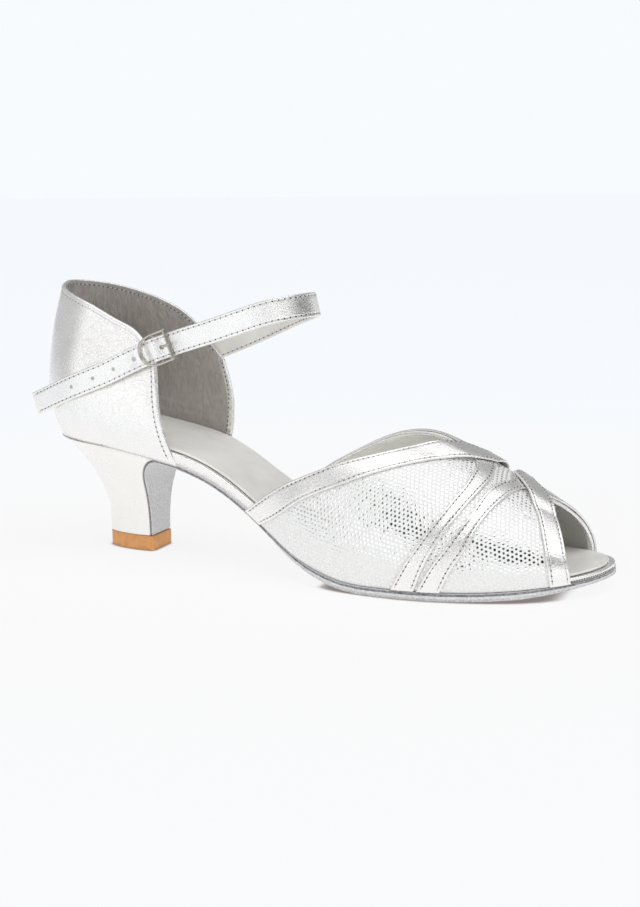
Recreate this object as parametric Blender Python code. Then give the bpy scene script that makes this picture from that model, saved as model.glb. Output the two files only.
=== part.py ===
"""A right ballroom dance shoe: closed heel cup, open waist, open toe, flared heel and a buckled ankle strap."""

import math

import bmesh
import bpy
import numpy as np

# Sizes. x runs from the back of the seat to the toe, -y is the outer side, z is up from the floor.
MM = 0.001
GAP = 0.3 * MM
SOLE_LENGTH = 235 * MM
SEAT_WIDTH = 50 * MM
HEEL_ROUND = 24 * MM
TOE_ROUND = 32 * MM
HEEL_HEIGHT = 49.4 * MM
SOLE_THICKNESS = 3.0 * MM
SHANK_SOLE_THICKNESS = 1.1 * MM
TOE_SOLE_THICKNESS = 1.7 * MM
SOLE_MARGIN = 1.0 * MM
TOE_MARGIN = 0.2 * MM
TOE_SPRING = 4.8 * MM
TOE_SPRING_BEND = 2.2
FLAT_REAR = 148 * MM
FLAT_FRONT = 171 * MM
INSTEP_HEIGHT = 56 * MM
SIDE_BULGE = 2.0 * MM
QUARTER_HEIGHT = 63.2 * MM
QUARTER_WALL = 1.8 * MM
VAMP_WALL = 1.5 * MM
BAND_THICKNESS = 0.9 * MM
INSOLE_THICKNESS = 5.0 * MM
TOE_INSOLE_THICKNESS = 1.8 * MM
SOCK_THICKNESS = 0.9 * MM
SOCK_RIM = 2.4 * MM
TIP_HEIGHT = 6.3 * MM
TIP_BACK = 18.8 * MM
TIP_FRONT = 43.0 * MM
TIP_HALF_WIDTH = 8.0 * MM
TIP_CENTRE_X = 31.5 * MM
STRAP_WIDTH = 9.5 * MM
STRAP_THICKNESS = 2.0 * MM
BUCKLE_WIRE = 0.75 * MM
BUCKLE_HALF_LENGTH = 6.75 * MM
BUCKLE_STEP = 11
STRAP_SAMPLES = 110


# Tables and the smooth curves drawn through them
def table(columns, rows):
    return {name: np.array([row[i] for row in rows], float) for i, name in enumerate(columns.split())}


def smooth_slopes(x, y):
    n, h = len(x), np.diff(x)
    a, b = np.zeros((n, n)), np.zeros(n)
    a[0, :2], b[0] = (2, 1), 3 * (y[1] - y[0]) / h[0]
    a[-1, -2:], b[-1] = (1, 2), 3 * (y[-1] - y[-2]) / h[-1]
    for i in range(1, n - 1):
        a[i, i - 1:i + 2] = 1 / h[i - 1], 2 / h[i - 1] + 2 / h[i], 1 / h[i]
        b[i] = 3 * ((y[i] - y[i - 1]) / h[i - 1] ** 2 + (y[i + 1] - y[i]) / h[i] ** 2)
    return np.linalg.solve(a, b)


def steady_slopes(x, y):
    d = np.diff(y) / np.diff(x)
    inner = [0.0 if p * q <= 0 else 2 * p * q / (p + q) for p, q in zip(d, d[1:])]
    return np.array([d[0], *inner, d[-1]])


def curve(rows, column, slopes=smooth_slopes):
    x, y = rows[next(iter(rows))], rows[column]
    m = slopes(x, y)

    def at(value):
        v = min(max(value, x[0]), x[-1])
        i = min(int(np.searchsorted(x, v, side="right")) - 1, len(x) - 2)
        h = x[i + 1] - x[i]
        t = (v - x[i]) / h
        return float(
            (1 + 2 * t) * (1 - t) ** 2 * y[i] + t * (1 - t) ** 2 * h * m[i]
            + t * t * (3 - 2 * t) * y[i + 1] + t * t * (t - 1) * h * m[i + 1]
        )

    return at


def ease(value, start, end):
    t = min(1.0, max(0.0, (value - start) / (end - start)))
    return t * t * (3 - 2 * t)


# Sole outline: shares of the sole length and of the seat width
PLAN = table("along half_width centre", [
    (0.00, 0.500, 0.000),
    (0.10, 0.500, 0.000),
    (0.18, 0.500, 0.000),
    (0.27, 0.476, -0.004),
    (0.35, 0.428, -0.016),
    (0.41, 0.442, -0.040),
    (0.475, 0.520, -0.066),
    (0.555, 0.640, -0.064),
    (0.64, 0.738, -0.034),
    (0.70, 0.764, -0.012),
    (0.765, 0.756, 0.016),
    (0.83, 0.700, 0.040),
    (0.90, 0.600, 0.056),
    (1.00, 0.520, 0.050),
])
plan_half = curve(PLAN, "half_width")
plan_centre = curve(PLAN, "centre")


def half_width(x, inset=0.0, back=0.0, toe=0.0):
    w = plan_half(x / SOLE_LENGTH) * SEAT_WIDTH - inset
    if x < HEEL_ROUND:
        w *= math.sqrt(max(0.0, 1 - ((HEEL_ROUND - x) / (HEEL_ROUND - back)) ** 2))
    over = (x - SOLE_LENGTH + TOE_ROUND) / (TOE_ROUND - toe)
    if over > 0:
        w *= math.sqrt(max(0.0, 1 - over ** 2))
    return w


def centre_line(x):
    return plan_centre(x / SOLE_LENGTH) * SEAT_WIDTH


# Height of the feather line, where the upper meets the sole: flat under the ball, an arch behind it
ARCH = table("back rise", [
    (0.000, 0.000),
    (0.054, 0.014),
    (0.122, 0.060),
    (0.189, 0.135),
    (0.250, 0.236),
    (0.311, 0.356),
    (0.378, 0.492),
    (0.439, 0.613),
    (0.500, 0.718),
    (0.568, 0.802),
    (0.642, 0.858),
    (0.716, 0.903),
    (0.797, 0.946),
    (0.885, 0.978),
    (1.000, 1.000),
])
arch_rise = curve(ARCH, "rise", steady_slopes)


def feather(x):
    if x < FLAT_REAR:
        return SOLE_THICKNESS + arch_rise(1 - max(0.0, x) / FLAT_REAR) * (HEEL_HEIGHT - SOLE_THICKNESS)
    if x > FLAT_FRONT:
        return SOLE_THICKNESS + TOE_SPRING * ((x - FLAT_FRONT) / (SOLE_LENGTH - FLAT_FRONT)) ** TOE_SPRING_BEND
    return SOLE_THICKNESS


# Form of the last over the forefoot: height of the ridge and its place across
RIDGE = table("along height ridge", [
    (0.36, 1.440, 0.16),
    (0.45, 1.335, 0.15),
    (0.55, 1.185, 0.13),
    (0.65, 1.035, 0.11),
    (0.72, 0.945, 0.09),
    (0.77, 0.855, 0.07),
    (0.83, 0.725, 0.07),
    (0.89, 0.580, 0.07),
    (0.95, 0.430, 0.065),
    (1.00, 0.310, 0.064),
])
ridge_height = curve(RIDGE, "height")
ridge_place = curve(RIDGE, "ridge")


def last_point(x, v):
    """A point of the last at x, with v from -1 at the outer feather line over the ridge to 1 at the inner one."""
    base = feather(x) + GAP
    top = ridge_height(x / SOLE_LENGTH) * INSTEP_HEIGHT
    ridge = ridge_place(x / SOLE_LENGTH) * SEAT_WIDTH
    side = -1 if v < 0 else 1
    edge = centre_line(x) + side * half_width(x)
    s, c = abs(math.sin(v * math.pi / 2)), math.cos(v * math.pi / 2)
    y = ridge + (edge - ridge) * s + side * SIDE_BULGE * math.sin(math.pi * c) * s
    return np.array([x, y, base + (top - base) * c])


def on_last(x, v, lift):
    """The same point moved out by lift, and never below the feather line."""
    e = 1e-4
    dx = last_point(x + e, v) - last_point(x - e, v)
    low, high = max(-1.0, v - e), min(1.0, v + e)
    dv = last_point(x, high) - last_point(x, low)
    n = np.cross(dx, dv)
    n /= np.linalg.norm(n)
    p = last_point(x, v) + n * lift
    p[2] = max(p[2], feather(p[0]) + GAP)
    return p


# Edges of the vamp and of its four bands by place across, in shares of the sole length; both sides but for the throat
EDGES = table("v throat_outer throat_inner throat_band low_1 high_1 low_2 high_2 toe_band toe", [
    (0.00, 0.74681, 0.74681, 0.05532, 0.74681, 0.80213, 0.82766, 0.88298, 0.05532, 0.88298),
    (0.10, 0.72128, 0.70851, 0.05745, 0.77234, 0.80638, 0.83404, 0.85745, 0.04468, 0.89787),
    (0.20, 0.69277, 0.67021, 0.05532, 0.78128, 0.80851, 0.82213, 0.84681, 0.03787, 0.90894),
    (0.33, 0.64894, 0.62340, 0.05447, 0.77872, 0.80255, 0.81064, 0.83617, 0.03319, 0.92170),
    (0.55, 0.55447, 0.54553, 0.05106, 0.75957, 0.78213, 0.79574, 0.81617, 0.03064, 0.93617),
    (0.75, 0.47447, 0.47447, 0.04085, 0.72894, 0.75404, 0.76936, 0.79745, 0.02894, 0.94468),
    (0.87, 0.43702, 0.43915, 0.03830, 0.70638, 0.73745, 0.74681, 0.77957, 0.02851, 0.94809),
    (1.00, 0.40000, 0.40426, 0.03191, 0.68298, 0.72128, 0.72468, 0.76170, 0.02851, 0.94979),
])
edge = {name: curve(EDGES, name, steady_slopes) for name in list(EDGES)[1:]}


def throat_x(v):
    return edge["throat_outer" if v < 0 else "throat_inner"](abs(v)) * SOLE_LENGTH


def toe_x(v):
    return edge["toe"](abs(v)) * SOLE_LENGTH


def throat_band_edges(v, side):
    """Band along the throat on one side, which goes on as the rear diagonal of the other side."""
    if v * side >= 0:
        low = throat_x(v)
        return low, low + edge["throat_band"](abs(v)) * SOLE_LENGTH
    return edge["low_1"](abs(v)) * SOLE_LENGTH, edge["high_1"](abs(v)) * SOLE_LENGTH


def toe_band_edges(v, side):
    """Band along the toe opening on one side, which goes on as the front diagonal of the other side."""
    if v * side >= 0:
        high = toe_x(v)
        return high - edge["toe_band"](abs(v)) * SOLE_LENGTH, high
    return edge["low_2"](abs(v)) * SOLE_LENGTH, edge["high_2"](abs(v)) * SOLE_LENGTH


# Heel cup: set-back and width in shares of the seat width, front edges in shares of the sole length
CUP = table("height back width outer_front inner_front", [
    (0.00, 0.000, 1.000, 0.27149, 0.27660),
    (0.12, -0.052, 1.045, 0.25787, 0.28085),
    (0.24, -0.088, 1.050, 0.24766, 0.28426),
    (0.38, -0.102, 1.015, 0.23957, 0.28511),
    (0.52, -0.096, 0.940, 0.23404, 0.27915),
    (0.70, -0.072, 0.832, 0.22553, 0.26809),
    (0.84, -0.032, 0.760, 0.22128, 0.26170),
    (1.00, 0.020, 0.690, 0.21702, 0.25532),
])
cup_back = curve(CUP, "back")
cup_width = curve(CUP, "width")
cup_front = {-1: curve(CUP, "outer_front"), 1: curve(CUP, "inner_front")}
COLLAR = table("round outer inner", [
    (0.00, 1.000, 1.000),
    (0.25, 0.957, 0.990),
    (0.50, 0.892, 0.954),
    (0.75, 0.824, 0.900),
    (0.90, 0.765, 0.790),
    (1.00, 0.650, 0.610),
])
collar = {-1: curve(COLLAR, "outer"), 1: curve(COLLAR, "inner")}


def cup_point(round_, up):
    """A point of the heel cup: round_ -1 at the outer front edge, 0 at the back, 1 at the inner one; up 0 to 1."""
    side = -1 if round_ < 0 else 1
    t = abs(round_)
    k = up * collar[side](t)
    back = cup_back(k) * SEAT_WIDTH
    front = cup_front[side](k) * SOLE_LENGTH
    run = HEEL_ROUND * (1 - math.cos(math.pi * t))
    if t > 0.5:
        run = HEEL_ROUND + (front - back - HEEL_ROUND) * (2 * t - 1)
    plan_x = min(run, front)
    y = side * half_width(plan_x) * cup_width(k)
    return np.array([back + run, y, feather(plan_x) + GAP + k * QUARTER_HEIGHT])


# Solids from grids and rings
def make_object(name, points, faces, paint):
    mesh = bpy.data.meshes.new(name)
    mesh.from_pydata([tuple(p) for p in points], [], [tuple(f) for f in faces])
    work = bmesh.new()
    work.from_mesh(mesh)
    bmesh.ops.recalc_face_normals(work, faces=work.faces)
    bmesh.ops.triangulate(work, faces=[f for f in work.faces if len(f.verts) > 3])
    work.to_mesh(mesh)
    work.free()
    mesh.shade_smooth()
    mesh.set_sharp_from_angle(angle=math.radians(35))
    mesh.materials.append(paint)
    item = bpy.data.objects.new(name, mesh)
    bpy.context.scene.collection.objects.link(item)
    item.parent = frame
    return item


def sheet(name, outer, inner, paint):
    """A closed solid between two grids of points with the same rows and columns."""
    outer, inner = np.asarray(outer), np.asarray(inner)
    rows, cols = outer.shape[:2]
    points = np.concatenate([outer.reshape(-1, 3), inner.reshape(-1, 3)])
    far = rows * cols
    faces = []
    for i in range(rows - 1):
        for j in range(cols - 1):
            a = i * cols + j
            faces.append((a, a + 1, a + cols + 1, a + cols))
            faces.append((far + a + cols, far + a + cols + 1, far + a + 1, far + a))
    rim = [j for j in range(cols)]
    rim += [i * cols + cols - 1 for i in range(1, rows)]
    rim += [(rows - 1) * cols + j for j in range(cols - 2, -1, -1)]
    rim += [i * cols for i in range(rows - 2, 0, -1)]
    for a, b in zip(rim, rim[1:] + rim[:1]):
        faces.append((b, a, far + a, far + b))
    return make_object(name, points, faces, paint)


def stack(name, rings, paint):
    """A closed solid from rings that run from one front corner round the back to the other."""
    rings = np.asarray(rings)
    levels, count = rings.shape[:2]
    faces = []
    for i in range(levels - 1):
        for j in range(count):
            a, b = i * count + j, i * count + (j + 1) % count
            faces.append((a, b, b + count, a + count))
    for start in (0, (levels - 1) * count):
        for j in range(count // 2 - 1):
            mirror = count - 1 - j
            faces.append((start + j, start + j + 1, start + mirror - 1, start + mirror))
    return make_object(name, rings.reshape(-1, 3), faces, paint)


def tube(name, path, radius, closed, paint, sides=10):
    """A round wire along a path."""
    path = np.asarray(path)
    count = len(path)
    rings = []
    normal = None
    for i in range(count):
        if closed:
            tangent = path[(i + 1) % count] - path[i - 1]
        else:
            tangent = path[min(i + 1, count - 1)] - path[max(i - 1, 0)]
        tangent /= np.linalg.norm(tangent)
        if normal is None:
            normal = np.cross(tangent, (0.3, 1.0, 0.2))
        normal = normal - tangent * (normal @ tangent)
        normal /= np.linalg.norm(normal)
        across = np.cross(tangent, normal)
        turns = np.arange(sides) * 2 * math.pi / sides
        rings.append([path[i] + radius * (math.cos(t) * normal + math.sin(t) * across) for t in turns])
    faces = []
    for i in range(count if closed else count - 1):
        shift = 0
        nxt = (i + 1) % count
        if closed and nxt == 0:
            spans = [np.linalg.norm(np.array(rings[0])[(k % sides)] - rings[i][0]) for k in range(sides)]
            shift = int(np.argmin(spans))
        for j in range(sides):
            a, b = i * sides + j, i * sides + (j + 1) % sides
            c, d = nxt * sides + (j + 1 + shift) % sides, nxt * sides + (j + shift) % sides
            faces.append((a, b, c, d))
    if not closed:
        faces.append(tuple(range(sides)))
        faces.append(tuple((count - 1) * sides + j for j in range(sides)))
    return make_object(name, np.array(rings).reshape(-1, 3), faces, paint)


def material(name, colour, roughness, metallic):
    paint = bpy.data.materials.new(name)
    paint.use_nodes = True
    shader = paint.node_tree.nodes["Principled BSDF"]
    shader.inputs["Base Color"].default_value = (*colour, 1.0)
    shader.inputs["Roughness"].default_value = roughness
    shader.inputs["Metallic"].default_value = metallic
    return paint


for old in list(bpy.data.objects):
    bpy.data.objects.remove(old)
frame = bpy.data.objects.new("shoe_frame", None)
bpy.context.scene.collection.objects.link(frame)
frame.location = (-TIP_CENTRE_X, 0.0, 0.0)

SILVER = material("silver_leather", (0.80, 0.79, 0.77), 0.32, 0.55)
MESH_FABRIC = material("foil_dot_fabric", (0.83, 0.83, 0.82), 0.50, 0.20)
SOCK_LEATHER = material("sock_leather", (0.50, 0.49, 0.45), 0.45, 0.10)
SUEDE = material("suede", (0.38, 0.38, 0.38), 0.95, 0.0)
TIP_RUBBER = material("tip_rubber", (0.60, 0.30, 0.13), 0.50, 0.0)
METAL = material("nickel", (0.75, 0.73, 0.70), 0.18, 1.0)


# Outsole: flat stations forward of the heel, then a flap turned down the heel breast. The table runs from
# the top of the breast to the tip: shares of the run, of the rise and of the spread between the two
SEAT_FRONT = 0.26638 * SOLE_LENGTH
WAIST_FRONT = throat_x(-1.0)
BREAST = table("x z half", [
    (1.0000, 1.0000, 0.9152),
    (0.8756, 1.0088, 0.8727),
    (0.6842, 1.0161, 0.7818),
    (0.4928, 1.0175, 0.6909),
    (0.3254, 1.0073, 0.6061),
    (0.1770, 0.9723, 0.5333),
    (0.0766, 0.9197, 0.4788),
    (0.0144, 0.8526, 0.4303),
    (-0.0239, 0.7650, 0.3636),
    (-0.0478, 0.6336, 0.2424),
    (-0.0574, 0.5168, 0.1455),
    (-0.0622, 0.4000, 0.0788),
    (-0.0670, 0.2540, 0.0303),
    (-0.0670, 0.1372, 0.0121),
    (-0.0670, 0.0175, 0.0061),
])
BREAST_X = TIP_FRONT + BREAST["x"] * (SEAT_FRONT - TIP_FRONT)
BREAST_Z = TIP_HEIGHT + BREAST["z"] * (feather(SEAT_FRONT) - TIP_HEIGHT)
BREAST_HALF = TIP_HALF_WIDTH + BREAST["half"] * (SEAT_WIDTH / 2 - TIP_HALF_WIDTH)
BREAST_PATH = np.stack([BREAST_X, BREAST_Z], 1)


def toe_share(x):
    return ease(x, SOLE_LENGTH - TOE_ROUND, SOLE_LENGTH)


def sole_margin(x):
    wide = -0.3 * MM + (SOLE_MARGIN + 0.3 * MM) * ease(x, WAIST_FRONT + 6 * MM, WAIST_FRONT + 42 * MM)
    return wide + (TOE_MARGIN - SOLE_MARGIN) * toe_share(x)


def sole_station(x):
    thick = SHANK_SOLE_THICKNESS + (SOLE_THICKNESS - SHANK_SOLE_THICKNESS) * ease(x, WAIST_FRONT + 6 * MM, FLAT_REAR)
    thick += (TOE_SOLE_THICKNESS - SOLE_THICKNESS) * toe_share(x)
    grow = sole_margin(x)
    half = half_width(x, -grow, 0.0, -TOE_MARGIN)
    slope = (feather(x + 1e-4) - feather(x - 1e-4)) / 2e-4
    down = np.array([slope, -1.0]) / math.hypot(slope, 1.0)
    if FLAT_REAR <= x <= FLAT_FRONT:
        down = np.array([0.0, -1.0])
    top = np.array([x, feather(x)])
    low = top + down * thick
    return top, low, half, centre_line(x)


def sole_rows():
    toe_end = SOLE_LENGTH + TOE_MARGIN
    stations = [toe_end - (TOE_ROUND + TOE_MARGIN) * (1 - math.cos(t)) for t in np.linspace(0.13, math.pi / 2, 13)]
    stations += list(np.linspace(stations[-1], FLAT_FRONT, 10)[1:])
    stations += list(np.linspace(FLAT_FRONT, FLAT_REAR, 6)[1:])
    stations += list(np.linspace(FLAT_REAR, SEAT_FRONT + 2.4 * MM, 26)[1:])
    rows = [sole_station(x) for x in stations]
    path = BREAST_PATH
    for i, (point, half) in enumerate(zip(path, BREAST_HALF)):
        along = path[min(i + 1, len(path) - 1)] - path[max(i - 1, 0)]
        along /= np.linalg.norm(along)
        rows.append((point, point + SHANK_SOLE_THICKNESS * np.array([-along[1], along[0]]), half, 0.0))
    return rows


def build_outsole():
    top, low = [], []
    for upper, lower, half, middle in sole_rows():
        across = [middle + half * t for t in (-1, -0.5, 0, 0.5, 1)]
        top.append([(upper[0], y, upper[1]) for y in across])
        low.append([(lower[0], y, lower[1]) for y in across])
    sheet("outsole", top, low, SUEDE)


# Heel: levels follow the breast line of the sole; the top level is the seat
HEEL_BACK = table("level share", [(0, 0), (0.23, 0.005), (0.446, 0.145), (0.66, 0.385), (0.847, 0.762), (1, 1)])
HEEL_SIDE = table("level share", [
    (0, 0), (0.2, 0.01), (0.355, 0.066), (0.54, 0.217), (0.737, 0.39), (0.83, 0.48), (0.92, 0.62), (1, 1),
])
heel_back = curve(HEEL_BACK, "share", steady_slopes)
heel_side = curve(HEEL_SIDE, "share", steady_slopes)
HEEL_RING = 34
WIDEST_SEAT = 40 * MM
HEEL_NOSE = 22 * MM


def heel_ring(level, front_x, front_half):
    """One level: a straight front and a rounded back, from the outer front corner to the inner one."""
    back = TIP_BACK * (1 - heel_back(level))
    seat_wide = half_width(WIDEST_SEAT)
    wide = TIP_HALF_WIDTH + heel_side(level) * (seat_wide - TIP_HALF_WIDTH)
    depth = front_x - back
    points = []
    for i in range(HEEL_RING):
        t = -1 + 2 * i / (HEEL_RING - 1)
        side, s = (-1 if t < 0 else 1), abs(t)
        run = depth * (1 - math.cos(s * math.pi / 2)) ** 0.93
        x = back + run
        if level > 0.999:
            shape = half_width(x)
        else:
            oval = math.sqrt(max(0.0, 1 - max(0.0, 1 - run / min(depth, HEEL_NOSE)) ** 2))
            seat_shape = half_width(run / depth * front_x) / seat_wide
            shape = wide * (oval + (seat_shape - oval) * level)
        shape += (front_half - shape) * ease(s, 0.6, 1.0)
        z = TIP_HEIGHT + GAP + level * (feather(x) - TIP_HEIGHT - GAP)
        points.append((x, side * shape, z))
    return points


def heel_levels():
    """Level, front corner and half width along the breast, from the tip up to the seat."""
    rows = [(0.0, TIP_FRONT - 1.7 * MM, TIP_HALF_WIDTH)]
    path = BREAST_PATH
    for i in range(len(path) - 2, 0, -1):
        along = path[i + 1] - path[i - 1]
        along /= np.linalg.norm(along)
        x, z = path[i] - GAP * np.array([-along[1], along[0]])
        level = (z - TIP_HEIGHT - GAP) / (feather(x) - TIP_HEIGHT - GAP)
        rows.append((level, x, BREAST_HALF[i]))
    return [row for row in rows if row[0] < 0.985] + [(1.0, SEAT_FRONT - 2.1 * MM, SEAT_WIDTH / 2 - 1.8 * MM)]


def build_heel():
    stack("heel", [heel_ring(*row) for row in heel_levels()], SILVER)


def build_tip():
    low = [(x, y, 0.0) for x, y, _ in heel_ring(0.0, TIP_FRONT, TIP_HALF_WIDTH)]
    high = [(x, y, TIP_HEIGHT) for x, y, _ in low]
    stack("heel_tip", [low, high], TIP_RUBBER)


# Insole board and sock: full width in the open waist and at the toe, inside the walls elsewhere
CUP_FRONT_CLEARANCE = {-1: 1.0 * MM, 1: 2.2 * MM}
WALL_EASE = 1.6 * MM
LEAVE = {side: cup_front[side](0.0) * SOLE_LENGTH + CUP_FRONT_CLEARANCE[side] for side in (-1, 1)}
ENTER = {side: throat_x(float(side)) - 3.4 * MM for side in (-1, 1)}
TOE_OUT = toe_x(1.0) + 0.8 * MM


def insole_inset(x, side):
    leave, enter = LEAVE[side], ENTER[side]
    quarter = (QUARTER_WALL + 2 * GAP) * (1 - ease(x, leave, leave + WALL_EASE))
    vamp = (VAMP_WALL + 3 * GAP) * ease(x, enter, enter + 2 * MM) * (1 - ease(x, TOE_OUT, TOE_OUT + 1.4 * MM))
    return quarter + vamp


def insole_top(x):
    thick = TOE_INSOLE_THICKNESS + (INSOLE_THICKNESS - TOE_INSOLE_THICKNESS) * (1 - ease(x, WAIST_FRONT + 1 * MM, WAIST_FRONT + 34 * MM))
    return feather(x) + GAP + thick


def board_grid(rim, back, toe_end, bottom, thick):
    """Rows of an insole layer: rim is a further inset, bottom its underside height by x."""
    low, high = [], []
    stations = [back + (HEEL_ROUND - back) * (1 - math.cos(t)) for t in np.linspace(0.16, math.pi / 2, 11)]
    stations += list(np.linspace(HEEL_ROUND, LEAVE[-1], 10)[1:])
    stations += list(np.linspace(LEAVE[-1], LEAVE[-1] + WALL_EASE, 4)[1:])
    stations += list(np.linspace(LEAVE[1], LEAVE[1] + WALL_EASE, 3))
    stations += list(np.linspace(LEAVE[1] + WALL_EASE, ENTER[-1], 8)[1:])
    stations += list(np.linspace(ENTER[-1], ENTER[1] + 2 * MM, 5)[1:])
    stations += list(np.linspace(ENTER[1] + 2 * MM, FLAT_REAR, 13)[1:])
    stations += list(np.linspace(FLAT_REAR, SOLE_LENGTH - TOE_ROUND, 9)[1:])
    start = SOLE_LENGTH - TOE_ROUND
    stations += list(np.linspace(start, TOE_OUT, 7)[1:])
    stations += list(np.linspace(TOE_OUT, TOE_OUT + 1.4 * MM, 4)[1:])
    last = toe_end - start
    rest = TOE_OUT + 2 * MM - start
    stations += [start + last * math.cos(t) for t in np.linspace(math.acos(rest / last), 0.13, 8)]
    for x in stations:
        row_low, row_high = [], []
        for share in (-1, -0.5, 0, 0.5, 1):
            side = -1 if share < 0 else 1
            inset = max(insole_inset(x, side), rim)
            half = half_width(x, inset, back, SOLE_LENGTH - toe_end)
            y = centre_line(x) + share * half
            row_low.append((x, y, bottom(x)))
            row_high.append((x, y, bottom(x) + thick(x)))
        low.append(row_low)
        high.append(row_high)
    return high, low


def build_insole():
    high, low = board_grid(
        0.0, QUARTER_WALL + 2 * GAP, SOLE_LENGTH, lambda x: feather(x) + GAP,
        lambda x: insole_top(x) - feather(x) - GAP,
    )
    sheet("insole", high, low, SILVER)


def build_sock():
    high, low = board_grid(
        SOCK_RIM, QUARTER_WALL + 3 * GAP, SOLE_LENGTH - SOCK_RIM, lambda x: insole_top(x) + GAP,
        lambda x: SOCK_THICKNESS,
    )
    sheet("sock", high, low, SOCK_LEATHER)


# Upper: heel cup, vamp and the four bands over it
def build_quarter():
    places = np.linspace(-1, 1, 45)
    levels = np.linspace(0, 1, 11)
    outer = [[cup_point(r, u) for u in levels] for r in places]
    inner = []
    e = 1e-3
    for r in places:
        row = []
        for u in levels:
            low, high = max(-1.0, r - e), min(1.0, r + e)
            along = cup_point(high, u) - cup_point(low, u)
            n = np.array([along[1], -along[0], 0.0])
            n /= np.linalg.norm(n)
            p = cup_point(r, u)
            middle = np.array([HEEL_ROUND, 0.0, p[2]])
            if n @ (middle - p) < 0:
                n = -n
            row.append(p + n * QUARTER_WALL)
        inner.append(row)
    sheet("quarter", outer, inner, SILVER)


def build_vamp():
    places = np.linspace(-1, 1, 45)
    outer, inner = [], []
    for v in places:
        start, end = throat_x(v), toe_x(v)
        xs = [start + (end - start) * t for t in np.linspace(0, 1, 13)]
        outer.append([on_last(x, v, 0.0) for x in xs])
        inner.append([on_last(x, v, -VAMP_WALL) for x in xs])
    sheet("vamp", outer, inner, MESH_FABRIC)


def build_band(name, edges, side, over):
    """A leather strip on the vamp; the over one of a pair rises where it crosses the other."""
    outer, inner = [], []
    places = sorted(set(np.round(np.linspace(-1, 1, 41), 4)) | {-0.075, -0.025, 0.025, 0.075})
    for v in places:
        low, high = edges(v, side)
        rise = GAP
        if over:
            rise += (BAND_THICKNESS + GAP) * (1 - ease(abs(v), 0.12, 0.26))
        xs = [low + (high - low) * t for t in (0, 0.5, 1)]
        inner.append([on_last(x, v, rise) for x in xs])
        outer.append([on_last(x, v, rise + BAND_THICKNESS) for x in xs])
    sheet(name, outer, inner, SILVER)


# Ankle strap: inner side of the cup, round the front of the ankle, through the buckle and back along the cup.
# Shares of the sole forward of the heel round, of the seat width and of the cup's height over the heel
STRAP_PATH = table("step x y z", [
    (0, 0.12322, 0.4920, 0.46203),
    (1, 0.15640, 0.4720, 0.51582),
    (2, 0.18957, 0.4520, 0.56487),
    (3, 0.26777, 0.4100, 0.66772),
    (4, 0.35071, 0.3100, 0.78323),
    (5, 0.40521, 0.1700, 0.84652),
    (6, 0.43223, 0.0000, 0.87658),
    (7, 0.43602, -0.1800, 0.88449),
    (8, 0.41469, -0.3700, 0.87658),
    (9, 0.36493, -0.4720, 0.83544),
    (10, 0.26540, -0.5040, 0.72468),
    (11, 0.15403, -0.5080, 0.60443),
    (12, 0.06256, -0.5380, 0.46677),
    (13, 0.01706, -0.5540, 0.40348),
    (14, -0.03697, -0.5460, 0.33228),
    (15, -0.09668, -0.4680, 0.25158),
    (16, -0.12844, -0.4220, 0.20965),
])
strap_axis = [curve(STRAP_PATH, name) for name in "xyz"]


def strap_line():
    """Evenly spaced points of the strap's middle line, with its three directions."""
    shares = np.array([[axis(s) for axis in strap_axis] for s in np.linspace(0, 16, 1601)])
    fine = shares * (SOLE_LENGTH - HEEL_ROUND, SEAT_WIDTH, QUARTER_HEIGHT) + (HEEL_ROUND, 0.0, HEEL_HEIGHT)
    run = np.concatenate([[0], np.cumsum(np.linalg.norm(np.diff(fine, axis=0), axis=1))])
    places = np.linspace(0, run[-1], STRAP_SAMPLES)
    points = np.stack([np.interp(places, run, fine[:, k]) for k in range(3)], 1)
    along = np.gradient(points, axis=0)
    along /= np.linalg.norm(along, axis=1)[:, None]
    up = np.array([0.0, 0.0, 1.0]) - along * along[:, 2:3]
    up /= np.linalg.norm(up, axis=1)[:, None]
    out = np.cross(up, along)
    buckle = np.interp(BUCKLE_STEP * 100, np.arange(1601), run)
    return points, along, up, out, places - buckle


LINE, ALONG, UP, OUT, FROM_BUCKLE = strap_line()
WEAVE = 0.85 * MM


def weave(place):
    """How far the strap stands out near the buckle: out over the centre bar, in under the two ends."""
    wave = math.cos(math.pi * min(1.0, abs(place) / (BUCKLE_HALF_LENGTH - 2 * MM))) * WEAVE
    return wave * (1 - ease(abs(place), BUCKLE_HALF_LENGTH + 1 * MM, 2 * BUCKLE_HALF_LENGTH + 1 * MM))


def strap_frame(place):
    """Middle point and directions of the unwoven strap at a place from the buckle's centre."""
    pick = lambda rows: np.array([np.interp(place, FROM_BUCKLE, rows[:, k]) for k in range(3)])
    return pick(LINE), pick(ALONG), pick(UP), pick(OUT)


def build_strap():
    outer, inner = [], []
    for place in FROM_BUCKLE:
        point, _, up, out = strap_frame(place)
        middle = point + out * weave(place)
        across = [STRAP_WIDTH * t for t in (-0.5, 0.0, 0.5)]
        outer.append([middle + out * STRAP_THICKNESS / 2 + up * w for w in across])
        inner.append([middle - out * STRAP_THICKNESS / 2 + up * w for w in across])
    strap = sheet("ankle_strap", outer, inner, SILVER)
    for i, (place, radius) in enumerate(HOLES):
        point, along, up, out = strap_frame(place)
        low = point - out * 4 * MM
        high = point + out * 5 * MM
        cutter = tube(f"hole_cutter_{i}", [low, high], radius, False, SILVER, 12)
        cutter.hide_render = True
        cutter.display_type = "WIRE"
        cut = strap.modifiers.new(f"hole_{i}", "BOOLEAN")
        cut.operation = "DIFFERENCE"
        cut.solver = "EXACT"
        cut.object = cutter


PRONG_PLACE = -0.5 * MM
HOLES = [
    (PRONG_PLACE, 1.1 * MM),
    (10.3 * MM, 0.9 * MM),
    (20.1 * MM, 0.9 * MM),
    (30.2 * MM, 0.9 * MM),
    (41.0 * MM, 0.9 * MM),
]


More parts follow.
